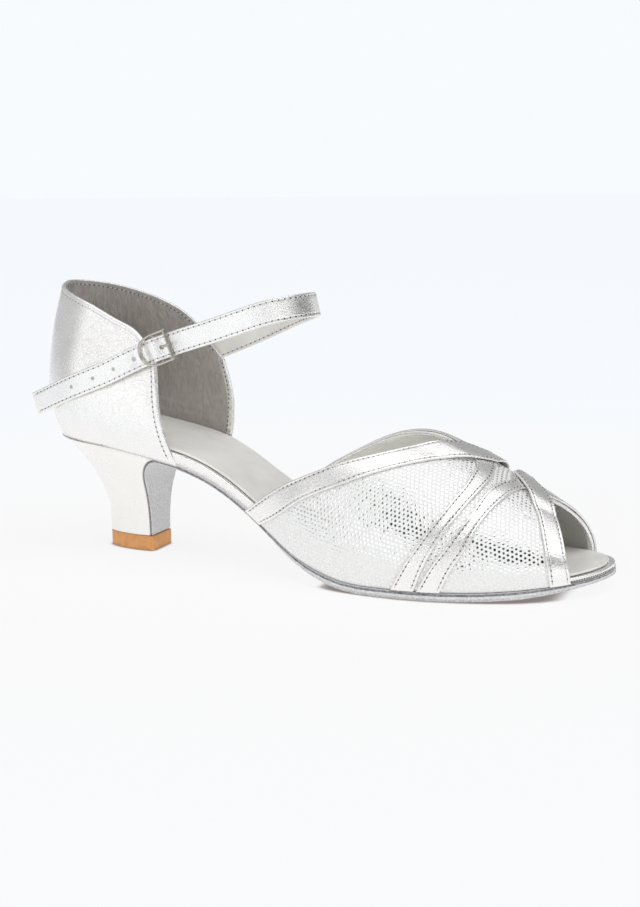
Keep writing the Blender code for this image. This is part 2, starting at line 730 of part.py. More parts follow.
def buckle_point(along_, up_, out_):
    """A point of the buckle's own flat frame; along_ runs towards the ankle."""
    point, along, up, out = strap_frame(0.0)
    return point - along * along_ + up * up_ + out * out_


def build_buckle():
    front, side, plane = BUCKLE_HALF_LENGTH, STRAP_WIDTH / 2 + GAP + BUCKLE_WIRE, 1.3 * MM
    corner = 1.6 * MM
    path = []
    for t in np.linspace(0, math.pi / 2, 5):
        path.append((front - corner + corner * math.sin(t), side - corner + corner * math.cos(t)))
    for t in np.linspace(0, math.pi / 2, 5):
        path.append((front - corner + corner * math.cos(t), -side + corner - corner * math.sin(t)))
    for t in np.linspace(0, math.pi, 17)[1:-1]:
        wide = math.copysign(abs(math.cos(t)) ** 0.75, math.cos(t))
        path.append((-(front - 0.3 * MM) * math.sin(t) ** 0.75, -side * wide))
    loop = [buckle_point(a, u, plane) for a, u in path]
    frame_wire = tube("buckle_frame", loop, BUCKLE_WIRE, True, METAL)
    bar = [(side, plane), (side - 0.3 * MM, plane - 1.2 * MM), (side - 1.0 * MM, -1.9 * MM), (side - 2.0 * MM, -2.2 * MM)]
    rod = [buckle_point(0.0, u, o) for u, o in bar] + [buckle_point(0.0, -u, o) for u, o in reversed(bar)]
    centre_bar = tube("centre_bar", rod, BUCKLE_WIRE * 0.93, False, METAL, 8)
    centre_bar.hide_render = True
    centre_bar.display_type = "WIRE"
    join = frame_wire.modifiers.new("centre_bar", "BOOLEAN")
    join.operation = "UNION"
    join.solver = "EXACT"
    join.object = centre_bar
    pin = [
        (0.5, -0.12), (0.5, 0.9), (0.55, 1.8), (0.9, 2.45), (1.6, 2.75), (3.5, 2.85), (5.5, 2.85), (7.0, 2.85), (7.9, 2.5),
    ]
    prong = [buckle_point(a * MM, 0.0, o * MM) for a, o in pin]
    tube("buckle_prong", prong, 0.5 * MM, False, METAL, 8)


def build_tab():
    """A thin leather loop from the cup round the buckle's centre bar."""
    centre, inside, thick = -2.2 * MM, BUCKLE_WIRE + GAP, 0.7 * MM
    line = [(-11.0, -3.3), (-8.5, -3.3), (-6.0, -3.3), (-4.0, -3.3), (-2.4, -3.45)]
    middle = inside + thick / 2
    path = [(a * MM, o * MM) for a, o in line]
    for t in np.radians(np.linspace(-105, 125, 12)):
        path.append((middle * math.cos(t), centre + middle * math.sin(t)))
    path = np.array(path)
    run = np.gradient(path, axis=0)
    run /= np.linalg.norm(run, axis=1)[:, None]
    normal = np.stack([run[:, 1], -run[:, 0]], 1)
    outer, inner = [], []
    for p, n in zip(path, normal):
        wide = (-3.2 * MM, 0.0, 3.2 * MM)
        outer.append([buckle_point(p[0] + n[0] * thick / 2, w, p[1] + n[1] * thick / 2) for w in wide])
        inner.append([buckle_point(p[0] - n[0] * thick / 2, w, p[1] - n[1] * thick / 2) for w in wide])
    sheet("buckle_tab", outer, inner, SILVER)


build_outsole()
build_heel()
build_tip()
build_insole()
build_sock()
build_quarter()
build_vamp()
build_band("throat_band_over", throat_band_edges, -1, True)
build_band("throat_band_under", throat_band_edges, 1, False)
build_band("toe_band_over", toe_band_edges, -1, True)
build_band("toe_band_under", toe_band_edges, 1, False)
build_strap()
build_buckle()
build_tab()
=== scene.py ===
import math

import bmesh
import bpy
import numpy as np
from mathutils import Matrix, Vector


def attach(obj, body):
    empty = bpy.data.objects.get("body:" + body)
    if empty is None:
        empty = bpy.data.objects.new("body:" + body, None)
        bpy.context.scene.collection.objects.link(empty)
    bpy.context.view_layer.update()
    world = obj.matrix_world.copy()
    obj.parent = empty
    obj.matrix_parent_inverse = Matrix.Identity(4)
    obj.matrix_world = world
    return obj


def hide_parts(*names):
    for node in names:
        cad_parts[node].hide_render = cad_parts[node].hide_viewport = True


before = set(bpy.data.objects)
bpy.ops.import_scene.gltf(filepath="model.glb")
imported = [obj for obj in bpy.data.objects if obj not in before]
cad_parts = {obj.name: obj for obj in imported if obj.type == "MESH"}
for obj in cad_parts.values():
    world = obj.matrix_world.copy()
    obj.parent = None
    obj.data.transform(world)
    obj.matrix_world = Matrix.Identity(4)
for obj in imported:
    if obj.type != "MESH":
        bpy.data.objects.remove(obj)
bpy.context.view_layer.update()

# Sizes in metres. x runs from the back of the seat to the toe, -y is the outer side, z is up from the floor.
MM = 0.001
GAP = 0.3 * MM
SOLE_LENGTH = 235 * MM
SEAT_WIDTH = 50 * MM
HEEL_ROUND = 24 * MM
TOE_ROUND = 32 * MM
HEEL_HEIGHT = 49.4 * MM
SOLE_THICKNESS = 3.0 * MM
SHANK_SOLE_THICKNESS = 1.1 * MM
TOE_SOLE_THICKNESS = 1.7 * MM
SOLE_MARGIN = 1.0 * MM
SHANK_MARGIN = -0.3 * MM
TOE_MARGIN = 0.2 * MM
TOE_SPRING = 4.8 * MM
TOE_SPRING_BEND = 2.2
FLAT_REAR = 148 * MM
FLAT_FRONT = 171 * MM
INSTEP_HEIGHT = 56 * MM
SIDE_BULGE = 2.0 * MM
QUARTER_HEIGHT = 63.2 * MM
QUARTER_WALL = 1.8 * MM
VAMP_WALL = 1.5 * MM
BAND_THICKNESS = 0.9 * MM
INSOLE_THICKNESS = 5.0 * MM
TOE_INSOLE_THICKNESS = 1.8 * MM
SOCK_THICKNESS = 0.9 * MM
SOCK_RIM = 2.4 * MM
TIP_HEIGHT = 6.3 * MM
TIP_BACK = 18.8 * MM
TIP_FRONT = 43.0 * MM
TIP_HALF_WIDTH = 8.0 * MM
TIP_CENTRE_X = 31.5 * MM
STRAP_WIDTH = 9.5 * MM
STRAP_THICKNESS = 2.0 * MM
BUCKLE_WIRE = 0.75 * MM
BUCKLE_HALF_LENGTH = 6.75 * MM
BUCKLE_STEP = 11
STITCH_PITCH = 2.0 * MM
STRAP_STITCH_PITCH = 2.45 * MM
NEEDLE_HOLE_RADIUS = 0.38 * MM
COLLAR_STITCH_INSET = 2.0 * MM
FRONT_STITCH_INSET = 2.9 * MM
BAND_STITCH_INSET = 1.15 * MM
STRAP_STITCH_INSET = 1.1 * MM
BAND_CHANNEL = 0.13 * MM
SEAM_DEPTH = 0.18 * MM
DOT_STEP = 1.72 * MM
DOT_LEAN = 0.35 * MM
DOT_ROW = 1.70 * MM
DOT_RADIUS = 0.48 * MM

CORNER_POINTS = 7
MERGE_DISTANCE = 0.002 * MM


# Tables and the smooth curves drawn through them, for whole arrays of places at once
def table(columns, rows):
    return {name: np.array([row[i] for row in rows], float) for i, name in enumerate(columns.split())}


def smooth_slopes(x, y):
    n, h = len(x), np.diff(x)
    a, b = np.zeros((n, n)), np.zeros(n)
    a[0, :2], b[0] = (2, 1), 3 * (y[1] - y[0]) / h[0]
    a[-1, -2:], b[-1] = (1, 2), 3 * (y[-1] - y[-2]) / h[-1]
    for i in range(1, n - 1):
        a[i, i - 1:i + 2] = 1 / h[i - 1], 2 / h[i - 1] + 2 / h[i], 1 / h[i]
        b[i] = 3 * ((y[i] - y[i - 1]) / h[i - 1] ** 2 + (y[i + 1] - y[i]) / h[i] ** 2)
    return np.linalg.solve(a, b)


def steady_slopes(x, y):
    d = np.diff(y) / np.diff(x)
    inner = [0.0 if p * q <= 0 else 2 * p * q / (p + q) for p, q in zip(d, d[1:])]
    return np.array([d[0], *inner, d[-1]])


def curve(rows, column, slopes=smooth_slopes):
    x, y = rows[next(iter(rows))], rows[column]
    m = slopes(x, y)

    def at(value):
        v = np.clip(value, x[0], x[-1])
        i = np.clip(np.searchsorted(x, v, side="right") - 1, 0, len(x) - 2)
        h = x[i + 1] - x[i]
        t = (v - x[i]) / h
        return (
            (1 + 2 * t) * (1 - t) ** 2 * y[i] + t * (1 - t) ** 2 * h * m[i]
            + t * t * (3 - 2 * t) * y[i + 1] + t * t * (t - 1) * h * m[i + 1]
        )

    return at


def ease(value, start, end):
    t = np.clip((np.asarray(value, float) - start) / (end - start), 0.0, 1.0)
    return t * t * (3 - 2 * t)


def unit(rows):
    return rows / np.maximum(np.linalg.norm(rows, axis=-1, keepdims=True), 1e-12)


def hump(value, place, reach):
    """1 at a place, falling off smoothly within that reach."""
    return np.exp(-((value - place) / reach) ** 2)


def run_of(points):
    """Length along a line of points, from 0 at its first."""
    return np.concatenate([[0], np.cumsum(np.linalg.norm(np.diff(points, axis=0), axis=1))])


def pick(place, run, rows):
    """Vectors between the rows of a table, at places along its run."""
    return np.stack([np.interp(place, run, rows[:, k]) for k in range(3)], -1)


def circle(count, first, second, radius):
    """Points round the origin, from the first direction towards the second."""
    turns = np.arange(count) * 2 * math.pi / count
    return radius * (np.cos(turns)[:, None] * first + np.sin(turns)[:, None] * second)


# Sole outline
PLAN = table("along half_width centre", [
    (0.00, 0.500, 0.000),
    (0.10, 0.500, 0.000),
    (0.18, 0.500, 0.000),
    (0.27, 0.476, -0.004),
    (0.35, 0.428, -0.016),
    (0.41, 0.442, -0.040),
    (0.475, 0.520, -0.066),
    (0.555, 0.640, -0.064),
    (0.64, 0.738, -0.034),
    (0.70, 0.764, -0.012),
    (0.765, 0.756, 0.016),
    (0.83, 0.700, 0.040),
    (0.90, 0.600, 0.056),
    (1.00, 0.520, 0.050),
])
plan_half = curve(PLAN, "half_width")
plan_centre = curve(PLAN, "centre")


def half_width(x, inset=0.0, back=0.0, toe=0.0):
    x = np.asarray(x, float)
    w = plan_half(x / SOLE_LENGTH) * SEAT_WIDTH - inset
    rear = np.clip((HEEL_ROUND - x) / (HEEL_ROUND - back), 0.0, 1.0)
    over = np.clip((x - SOLE_LENGTH + TOE_ROUND) / (TOE_ROUND - toe), 0.0, 1.0)
    return w * np.sqrt(1 - rear ** 2) * np.sqrt(1 - over ** 2)


def centre_line(x):
    return plan_centre(np.asarray(x, float) / SOLE_LENGTH) * SEAT_WIDTH


# Height of the feather line
ARCH = table("back rise", [
    (0.000, 0.000),
    (0.054, 0.014),
    (0.122, 0.060),
    (0.189, 0.135),
    (0.250, 0.236),
    (0.311, 0.356),
    (0.378, 0.492),
    (0.439, 0.613),
    (0.500, 0.718),
    (0.568, 0.802),
    (0.642, 0.858),
    (0.716, 0.903),
    (0.797, 0.946),
    (0.885, 0.978),
    (1.000, 1.000),
])
arch_rise = curve(ARCH, "rise", steady_slopes)


def feather(x):
    x = np.asarray(x, float)
    rear = arch_rise(1 - np.maximum(0.0, x) / FLAT_REAR) * (HEEL_HEIGHT - SOLE_THICKNESS)
    spring = TOE_SPRING * (np.maximum(0.0, x - FLAT_FRONT) / (SOLE_LENGTH - FLAT_FRONT)) ** TOE_SPRING_BEND
    return SOLE_THICKNESS + np.where(x < FLAT_REAR, rear, spring)


# Form of the last over the forefoot
RIDGE = table("along height ridge", [
    (0.36, 1.440, 0.16),
    (0.45, 1.335, 0.15),
    (0.55, 1.185, 0.13),
    (0.65, 1.035, 0.11),
    (0.72, 0.945, 0.09),
    (0.77, 0.855, 0.07),
    (0.83, 0.725, 0.07),
    (0.89, 0.580, 0.07),
    (0.95, 0.430, 0.065),
    (1.00, 0.310, 0.064),
])
ridge_height = curve(RIDGE, "height")
ridge_place = curve(RIDGE, "ridge")


def last_point(x, v):
    """Points of the last at x, with v from -1 at the outer feather line over the ridge to 1 at the inner one."""
    x, v = np.broadcast_arrays(np.asarray(x, float), np.asarray(v, float))
    base = feather(x) + GAP
    top = ridge_height(x / SOLE_LENGTH) * INSTEP_HEIGHT
    ridge = ridge_place(x / SOLE_LENGTH) * SEAT_WIDTH
    side = np.where(v < 0, -1.0, 1.0)
    rim = centre_line(x) + side * half_width(x)
    s, c = np.abs(np.sin(v * math.pi / 2)), np.cos(v * math.pi / 2)
    y = ridge + (rim - ridge) * s + side * SIDE_BULGE * np.sin(math.pi * c) * s
    return np.stack([x, y, base + (top - base) * c], -1)


def last_normal(x, v):
    x, v = np.broadcast_arrays(np.asarray(x, float), np.asarray(v, float))
    e = 1e-4
    dx = last_point(x + e, v) - last_point(x - e, v)
    dv = last_point(x, np.minimum(1.0, v + e)) - last_point(x, np.maximum(-1.0, v - e))
    return unit(np.cross(dx, dv))


def on_last(x, v, lift):
    """The same points moved out by lift, and never below the feather line."""
    p = last_point(x, v) + last_normal(x, v) * np.asarray(lift, float)[..., None]
    p[..., 2] = np.maximum(p[..., 2], feather(p[..., 0]) + GAP)
    return p


# Edges of the vamp and of its four bands by place across, in mm
EDGES = table("v throat_outer throat_inner throat_band low_1 high_1 low_2 high_2 toe_band toe", [
    (0.00, 175.5, 175.5, 13.0, 175.5, 188.5, 194.5, 207.5, 13.0, 207.5),
    (0.10, 169.5, 166.5, 13.5, 181.5, 189.5, 196.0, 201.5, 10.5, 211.0),
    (0.20, 162.8, 157.5, 13.0, 183.6, 190.0, 193.2, 199.0, 8.9, 213.6),
    (0.33, 152.5, 146.5, 12.8, 183.0, 188.6, 190.5, 196.5, 7.8, 216.6),
    (0.55, 130.3, 128.2, 12.0, 178.5, 183.8, 187.0, 191.8, 7.2, 220.0),
    (0.75, 111.5, 111.5, 9.6, 171.3, 177.2, 180.8, 187.4, 6.8, 222.0),
    (0.87, 102.7, 103.2, 9.0, 166.0, 173.3, 175.5, 183.2, 6.7, 222.8),
    (1.00, 94.0, 95.0, 7.5, 160.5, 169.5, 170.3, 179.0, 6.7, 223.2),
])
edge = {name: curve(EDGES, name, steady_slopes) for name in list(EDGES)[1:]}


def throat_x(v):
    return np.where(v < 0, edge["throat_outer"](np.abs(v)), edge["throat_inner"](np.abs(v))) * MM


def toe_x(v):
    return edge["toe"](np.abs(v)) * MM


def throat_band_edges(v, side):
    """Band along the throat on one side, which goes on as the rear diagonal of the other side."""
    own = v * side >= 0
    low = np.where(own, throat_x(v), edge["low_1"](np.abs(v)) * MM)
    high = np.where(own, throat_x(v) + edge["throat_band"](np.abs(v)) * MM, edge["high_1"](np.abs(v)) * MM)
    return low, high


def toe_band_edges(v, side):
    """Band along the toe opening on one side, which goes on as the front diagonal of the other side."""
    own = v * side >= 0
    low = np.where(own, toe_x(v) - edge["toe_band"](np.abs(v)) * MM, edge["low_2"](np.abs(v)) * MM)
    high = np.where(own, toe_x(v), edge["high_2"](np.abs(v)) * MM)
    return low, high


# Heel cup
CUP = table("height back width outer_front inner_front", [
    (0.00, 0.0, 1.000, 63.8, 65.0),
    (0.12, -2.6, 1.045, 60.6, 66.0),
    (0.24, -4.4, 1.050, 58.2, 66.8),
    (0.38, -5.1, 1.015, 56.3, 67.0),
    (0.52, -4.8, 0.940, 55.0, 65.6),
    (0.70, -3.6, 0.832, 53.0, 63.0),
    (0.84, -1.6, 0.760, 52.0, 61.5),
    (1.00, 1.0, 0.690, 51.0, 60.0),
])
cup_back = curve(CUP, "back")
cup_width = curve(CUP, "width")
outer_front = curve(CUP, "outer_front")
inner_front = curve(CUP, "inner_front")
COLLAR = table("round outer inner", [
    (0.00, 1.000, 1.000),
    (0.25, 0.957, 0.990),
    (0.50, 0.892, 0.954),
    (0.75, 0.824, 0.900),
    (0.90, 0.765, 0.790),
    (1.00, 0.650, 0.610),
])
outer_collar = curve(COLLAR, "outer")
inner_collar = curve(COLLAR, "inner")


def collar_share(round_):
    """Height of the collar as a share of the cup's, at places round it."""
    t = np.abs(round_)
    return np.where(round_ < 0, outer_collar(t), inner_collar(t))


def cup_point(round_, up):
    """Points of the heel cup: round_ -1 at the outer front edge, 0 at the back, 1 at the inner one; up 0 to 1."""
    round_, up = np.broadcast_arrays(np.asarray(round_, float), np.asarray(up, float))
    outside = round_ < 0
    t = np.abs(round_)
    k = up * collar_share(round_)
    back = cup_back(k) * MM
    front = np.where(outside, outer_front(k), inner_front(k)) * MM
    run = np.where(
        t > 0.5, HEEL_ROUND + (front - back - HEEL_ROUND) * (2 * t - 1), HEEL_ROUND * (1 - np.cos(math.pi * t))
    )
    plan_x = np.minimum(run, front)
    y = np.where(outside, -1.0, 1.0) * half_width(plan_x) * cup_width(k)
    return np.stack([back + run, y, feather(plan_x) + GAP + k * QUARTER_HEIGHT], -1)


def in_cup(round_, up, depth):
    """The same points moved level into the cup by depth."""
    round_, up = np.broadcast_arrays(np.asarray(round_, float), np.asarray(up, float))
    e = 1e-3
    along = cup_point(np.minimum(1.0, round_ + e), up) - cup_point(np.maximum(-1.0, round_ - e), up)
    n = unit(np.stack([along[..., 1], -along[..., 0], np.zeros(round_.shape)], -1))
    p = cup_point(round_, up)
    to_middle = np.array([HEEL_ROUND, 0.0, 0.0]) - p * (1, 1, 0)
    n = np.where(np.sum(n * to_middle, -1, keepdims=True) < 0, -n, n)
    return p + n * np.asarray(depth, float)[..., None]


# Ankle strap
STRAP_PATH = table("step x y z", [
    (0, 50.0, 24.6, 78.6),
    (1, 57.0, 23.6, 82.0),
    (2, 64.0, 22.6, 85.1),
    (3, 80.5, 20.5, 91.6),
    (4, 98.0, 15.5, 98.9),
    (5, 109.5, 8.5, 102.9),
    (6, 115.2, 0.0, 104.8),
    (7, 116.0, -9.0, 105.3),
    (8, 111.5, -18.5, 104.8),
    (9, 101.0, -23.6, 102.2),
    (10, 80.0, -25.2, 95.2),
    (11, 56.5, -25.4, 87.6),
    (12, 37.2, -26.9, 78.9),
    (13, 27.6, -27.7, 74.9),
    (14, 16.2, -27.3, 70.4),
    (15, 3.6, -23.4, 65.3),
    (16, -3.1, -21.1, 62.65),
])
strap_axis = [curve(STRAP_PATH, name) for name in "xyz"]
STRAP_STEPS = len(STRAP_PATH["step"]) - 1
PARTS_PER_STEP = 200


def strap_line(count):
    """Evenly spaced points of the strap's middle line, with its three directions."""
    steps = np.linspace(0, STRAP_STEPS, STRAP_STEPS * PARTS_PER_STEP + 1)
    fine = np.stack([axis(steps) for axis in strap_axis], -1) * MM
    run = run_of(fine)
    places = np.linspace(0, run[-1], count)
    points = pick(places, run, fine)
    along = unit(np.gradient(points, axis=0))
    up = unit(np.array([0.0, 0.0, 1.0]) - along * along[:, 2:3])
    return points, along, up, np.cross(up, along), places - run[BUCKLE_STEP * PARTS_PER_STEP]


# At the front turn of the loop the strap's upper edge leans in
LINE, ALONG, UP, OUT, FROM_BUCKLE = strap_line(640)
LEAN = math.radians(14) * hump(FROM_BUCKLE, -72 * MM, 20 * MM)[:, None]
UP, OUT = UP * np.cos(LEAN) - OUT * np.sin(LEAN), OUT * np.cos(LEAN) + UP * np.sin(LEAN)
WEAVE = 0.85 * MM


def weave(place):
    """How far the strap stands out of its path where it runs through the buckle."""
    place = np.abs(place)
    wave = np.cos(math.pi * np.minimum(1.0, place / (BUCKLE_HALF_LENGTH - 2 * MM))) * WEAVE
    return wave * (1 - ease(place, BUCKLE_HALF_LENGTH + 1 * MM, 2 * BUCKLE_HALF_LENGTH + 1 * MM))


def strap_frame(place):
    """Middle points and directions of the unwoven strap at places from the buckle's centre."""
    return [pick(place, FROM_BUCKLE, rows) for rows in (LINE, ALONG, UP, OUT)]


# Meshes from rings of points
def grid_faces(rows, cols):
    """Four-sided faces between neighbouring closed rings."""
    i, j = np.meshgrid(np.arange(rows - 1), np.arange(cols), indexing="ij")
    a = (i * cols + j).ravel()
    b = (i * cols + (j + 1) % cols).ravel()
    return np.stack([a, b, b + cols, a + cols], 1).tolist()


def mesh_object(name, points, faces, paints, slots=None, merge=False):
    """Points in the shoe's sizes, faces of any size turned outwards, a paint slot for each face."""
    mesh = bpy.data.meshes.new(name)
    points = np.asarray(points, float).reshape(-1, 3) - (TIP_CENTRE_X, 0.0, 0.0)
    mesh.from_pydata(points.tolist(), [], [list(map(int, f)) for f in faces])
    for paint in paints:
        mesh.materials.append(paint)
    if slots is not None:
        mesh.polygons.foreach_set("material_index", np.asarray(slots, dtype=np.int32))
    work = bmesh.new()
    work.from_mesh(mesh)
    if merge:
        bmesh.ops.remove_doubles(work, verts=work.verts, dist=MERGE_DISTANCE)
    bmesh.ops.recalc_face_normals(work, faces=work.faces)
    work.to_mesh(mesh)
    work.free()
    item = bpy.data.objects.new(name, mesh)
    bpy.context.scene.collection.objects.link(item)
    return item


def make(name, points, faces, paints, slots=None, stands_for=(), merge=True):
    """A smooth piece that rides on the shoe."""
    item = mesh_object(name, points, faces, paints, slots, merge)
    item.data.shade_smooth()
    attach(item, "root")
    if stands_for:
        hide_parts(*stands_for)
    return item


def ringed(name, rings, paints, slot_of=None, capped=True, stands_for=()):
    """A closed piece from rings that run out over one side and come back along the other."""
    rings = np.asarray(rings)
    count, size = rings.shape[:2]
    faces = grid_faces(count, size)
    slots = [slot_of(k // size, k % size) if slot_of else 0 for k in range(len(faces))]
    for start in (0, (count - 1) * size) if capped else ():
        for j in range(size // 2 - 1):
            faces.append((start + j, start + j + 1, start + size - 2 - j, start + size - 1 - j))
            slots.append(0)
    return make(name, rings, faces, paints, slots, stands_for)


def rounded(length, radius, middle, corner=CORNER_POINTS):
    """Places across a strip with round edges, one row for each length, and how full the section is there."""
    length, radius = np.atleast_1d(length)[:, None], np.atleast_1d(radius)[:, None]
    turn = np.linspace(0, math.pi / 2, corner)
    near = radius * (1 - np.cos(turn))
    spread = radius + (length - 2 * radius) * np.linspace(0, 1, middle)[None, 1:-1]
    places = np.concatenate([near, spread, length - near[:, ::-1]], 1)
    full = np.concatenate([np.sin(turn), np.ones(middle - 2), np.sin(turn)[::-1]])
    return places, full


def ripple(points, size, seed):
    """Smooth noise, mostly from -1 to 1, with features of that size: a sum of fixed waves."""
    draw = np.random.default_rng(seed)
    total = np.zeros(points.shape[:-1])
    for _ in range(9):
        way = unit(draw.normal(size=3)) * draw.uniform(0.6, 1.5) * 2 * math.pi / size
        total += np.sin(points @ way + draw.uniform(0, 2 * math.pi))
    return total / 4.0


# Stitching: raised threads with a dark disc of painted shade at the needle hole between each pair
class Stitching:
    stations = (-1.0, -0.82, -0.4, 0.0, 0.4, 0.82, 1.0)
    sides = 8
    near = 1e-5
    rise, sink = 0.10 * MM, 0.05 * MM
    hole_lift = 0.06 * MM

    def __init__(self):
        self.points, self.faces, self.slots, self.count = [], [], [], 0

    def add(self, points, faces, slot):
        self.points.append(points)
        self.faces += [[self.count + k for k in f] for f in faces]
        self.slots += [slot] * len(faces)
        self.count += len(points)

    def row(self, path, normal, pitch=STITCH_PITCH, thread=0.14 * MM, share=0.70, margin=0.0):
        """A row along a path on a surface with that normal, its threads covering a share of each pitch."""
        run = run_of(path)
        total = run[-1] - 2 * margin
        number = max(1, int(round(total / pitch)))
        pitch = total / number

        def spot(place):
            p, n = pick(place, run, path), unit(pick(place, run, normal))
            a = unit(pick(place + self.near, run, path) - pick(place - self.near, run, path))
            return p, n, a, np.cross(n, a)

        last = (len(self.stations) - 1) * self.sides
        faces = grid_faces(len(self.stations), self.sides)
        faces += [list(range(self.sides))[::-1], list(range(last, last + self.sides))]
        for i in range(number):
            middle = margin + (i + 0.5) * pitch
            rings = []
            for t in self.stations:
                p, n, _, side = spot(middle + t * share * pitch / 2)
                wide = thread * math.sqrt(max(0.02, 1 - t ** 4))
                lift = self.rise * (1 - t * t) - self.sink
                rings.append(p + n * lift + circle(self.sides, side * 1.15, n, wide))
            self.add(np.concatenate(rings), faces, 0)
            if i < number - 1:
                # A dark disc of painted shade sits at the needle hole after each thread.
                p, n, a, side = spot(middle + pitch / 2)
                rim = circle(self.sides, side * 0.8, a, NEEDLE_HOLE_RADIUS)
                self.add(p + n * self.hole_lift + rim, [list(range(self.sides))], 1)

    def build(self, name):
        return make(name, np.concatenate(self.points), self.faces, [THREAD, NEEDLE_SHADE_DISC], self.slots, merge=False)


# Paints
class Paint:
    """A node material on the object's own coordinates in metres."""

    def __init__(self, name):
        self.material = bpy.data.materials.new(name)
        self.material.use_nodes = True
        self.tree = self.material.node_tree
        self.shader = self.tree.nodes["Principled BSDF"]
        self.place = self.tree.nodes.new("ShaderNodeTexCoord").outputs["Object"]

    def set(self, **values):
        for name, value in values.items():
            self.shader.inputs[name.replace("_", " ")].default_value = value

    def node(self, kind, inputs=None, **values):
        node = self.tree.nodes.new(kind)
        for name, value in values.items():
            setattr(node, name, value)
        for name, value in (inputs or {}).items():
            if isinstance(value, bpy.types.NodeSocket):
                self.tree.links.new(value, node.inputs[name])
            else:
                node.inputs[name].default_value = value
        return node

    def noise(self, size, detail=2.0, rough=0.5, place=None, bend=0.0):
        """Noise with features of that size in metres."""
        node = self.node("ShaderNodeTexNoise", {
            "Vector": place or self.place, "Scale": 1 / size, "Detail": detail, "Roughness": rough, "Distortion": bend,
        })
        return node.outputs["Fac"]

    def cells(self, size):
        return self.node("ShaderNodeTexVoronoi", {"Vector": self.place, "Scale": 1 / size}).outputs["Distance"]

    def span(self, value, low, high, to_low=0.0, to_high=1.0):
        node = self.node("ShaderNodeMapRange", {
            "Value": value, "From Min": low, "From Max": high, "To Min": to_low, "To Max": to_high,
        })
        return node.outputs["Result"]

    def blend(self, factor, first, second):
        node = self.node("ShaderNodeMix", data_type="RGBA")
        for socket, value in ((node.inputs[0], factor), (node.inputs[6], first), (node.inputs[7], second)):
            if isinstance(value, bpy.types.NodeSocket):
                self.tree.links.new(value, socket)
            elif socket.type == "RGBA":
                socket.default_value = (*value, 1.0)
            else:
                socket.default_value = value
        return node.outputs[2]

    def colours(self, factor, first, second):
        self.tree.links.new(self.blend(factor, first, second), self.shader.inputs["Base Color"])

    def patches(self, noise, first, second, low=0.3, high=0.7):
        """Two colours in patches, with a soft edge from low to high of the noise."""
        self.colours(self.span(noise, low, high), tuple(first), tuple(second))

    def rough(self, socket):
        self.tree.links.new(socket, self.shader.inputs["Roughness"])

    def drift(self, size, smooth, dull):
        """Roughness that changes between two values over that size in metres."""
        self.rough(self.span(self.noise(size, 3), 0.3, 0.7, smooth, dull))

    def bumps(self, *layers):
        """Layers of height, each with its depth in metres."""
        normal = None
        for height, depth in layers:
            inputs = {"Height": height, "Distance": depth, "Strength": 1.0}
            if normal:
                inputs["Normal"] = normal
            normal = self.node("ShaderNodeBump", inputs).outputs["Normal"]
        self.tree.links.new(normal, self.shader.inputs["Normal"])


def paint(name, first, second, patch, gloss, *layers, edge=(0.3, 0.7), **values):
    """A material in patches of two colours, with bumps from layers of noise.

    Patch and the layers say size, detail and roughness of their noise, and a layer's last value is its depth.
    Gloss is one roughness, or the size over which it drifts and the two values between which it does.
    """
    p = Paint(name)
    p.patches(p.noise(*patch), first, second, *edge)
    if isinstance(gloss, tuple):
        p.drift(*gloss)
    else:
        p.set(Roughness=gloss)
    p.set(**values)
    p.bumps(*((p.noise(*noise), depth) for *noise, depth in layers))
    return p.material


def silver_leather(
    name, bright=0.98, tint=(1.0, 0.988, 0.970), metallic=0.88, roughness=0.24, grain=0.00011, swell=0.00012
):
    p = Paint(name)
    base = np.array(tint) * bright
    p.patches(p.noise(0.006, 4), base * 0.975, base)
    p.drift(0.002, roughness - 0.05, roughness + 0.07)
    p.set(Metallic=metallic)
    p.bumps((p.noise(0.009, 2), swell), (p.noise(0.0007, 4, 0.6), grain), (p.cells(0.0005), grain * 0.5))
    return p.material


def plain_leather(name, colour, roughness=0.5, grain=0.00006, metallic=0.0):
    base, gloss = np.array(colour), (0.003, roughness - 0.06, roughness + 0.08)
    layers = (0.004, 3, 0.00008), (0.0006, 4, 0.6, grain)
    return paint(name, base * 0.90, base * 1.05, (0.012, 4), gloss, *layers, Metallic=metallic)


def suede(name, colour, light):
    layers = (0.0012, 4, 0.7, 0.00025), (0.0003, 3, 0.7, 0.00015)
    sheen = {"Sheen_Weight": 0.3, "Sheen_Roughness": 0.6}
    return paint(name, colour, light, (0.0008, 5, 0.7), 0.95, *layers, edge=(0.38, 0.62), **sheen)


def vamp_lining(leather, toe_cloth_and_shade, seam=0.150):
    """Pale leather behind the seam, and darker grey cloth round the toe opening, its darkness partly painted shade
    inside the toe.
    """
    p = Paint("vamp_lining_leather")
    along = p.node("ShaderNodeSeparateXYZ", {0: p.place}).outputs[0]
    front = p.span(along, seam - 0.002, seam + 0.002)
    # The grey in front of the seam is partly the cloth's own colour and partly painted shade inside the toe.
    p.colours(front, leather, toe_cloth_and_shade)
    p.rough(p.span(front, 0.0, 1.0, 0.42, 0.8))
    p.set(Metallic=0.1)
    p.bumps((p.noise(0.004, 3), 0.00008), (p.noise(0.0005, 3, 0.6), 0.00008))
    return p.material


def wrinkled_leather(name, colour, roughness):
    """Thin leather in small crossing wrinkles that run mostly up and down, its colour darker in their hollows and
    lighter on their crests: painted crease shade and painted highlight.
    """
    p = Paint(name)
    base = np.array(colour)
    stretched = p.node("ShaderNodeMapping", {0: p.place, "Scale": (1.0, 1.0, 0.35)}).outputs[0]
    height = p.noise(1 / 620, 4, 0.6, stretched, 0.8)
    # Colour follows the wrinkle height: painted shade in the hollows, a painted highlight on the crests.
    p.patches(height, base * 0.88, base * 1.05, 0.40, 0.62)
    p.drift(0.003, roughness - 0.06, roughness + 0.08)
    p.bumps((p.noise(0.009, 2), 0.0012), (height, 0.0007), (p.noise(0.0006, 4, 0.6), 0.00006))
    return p.material


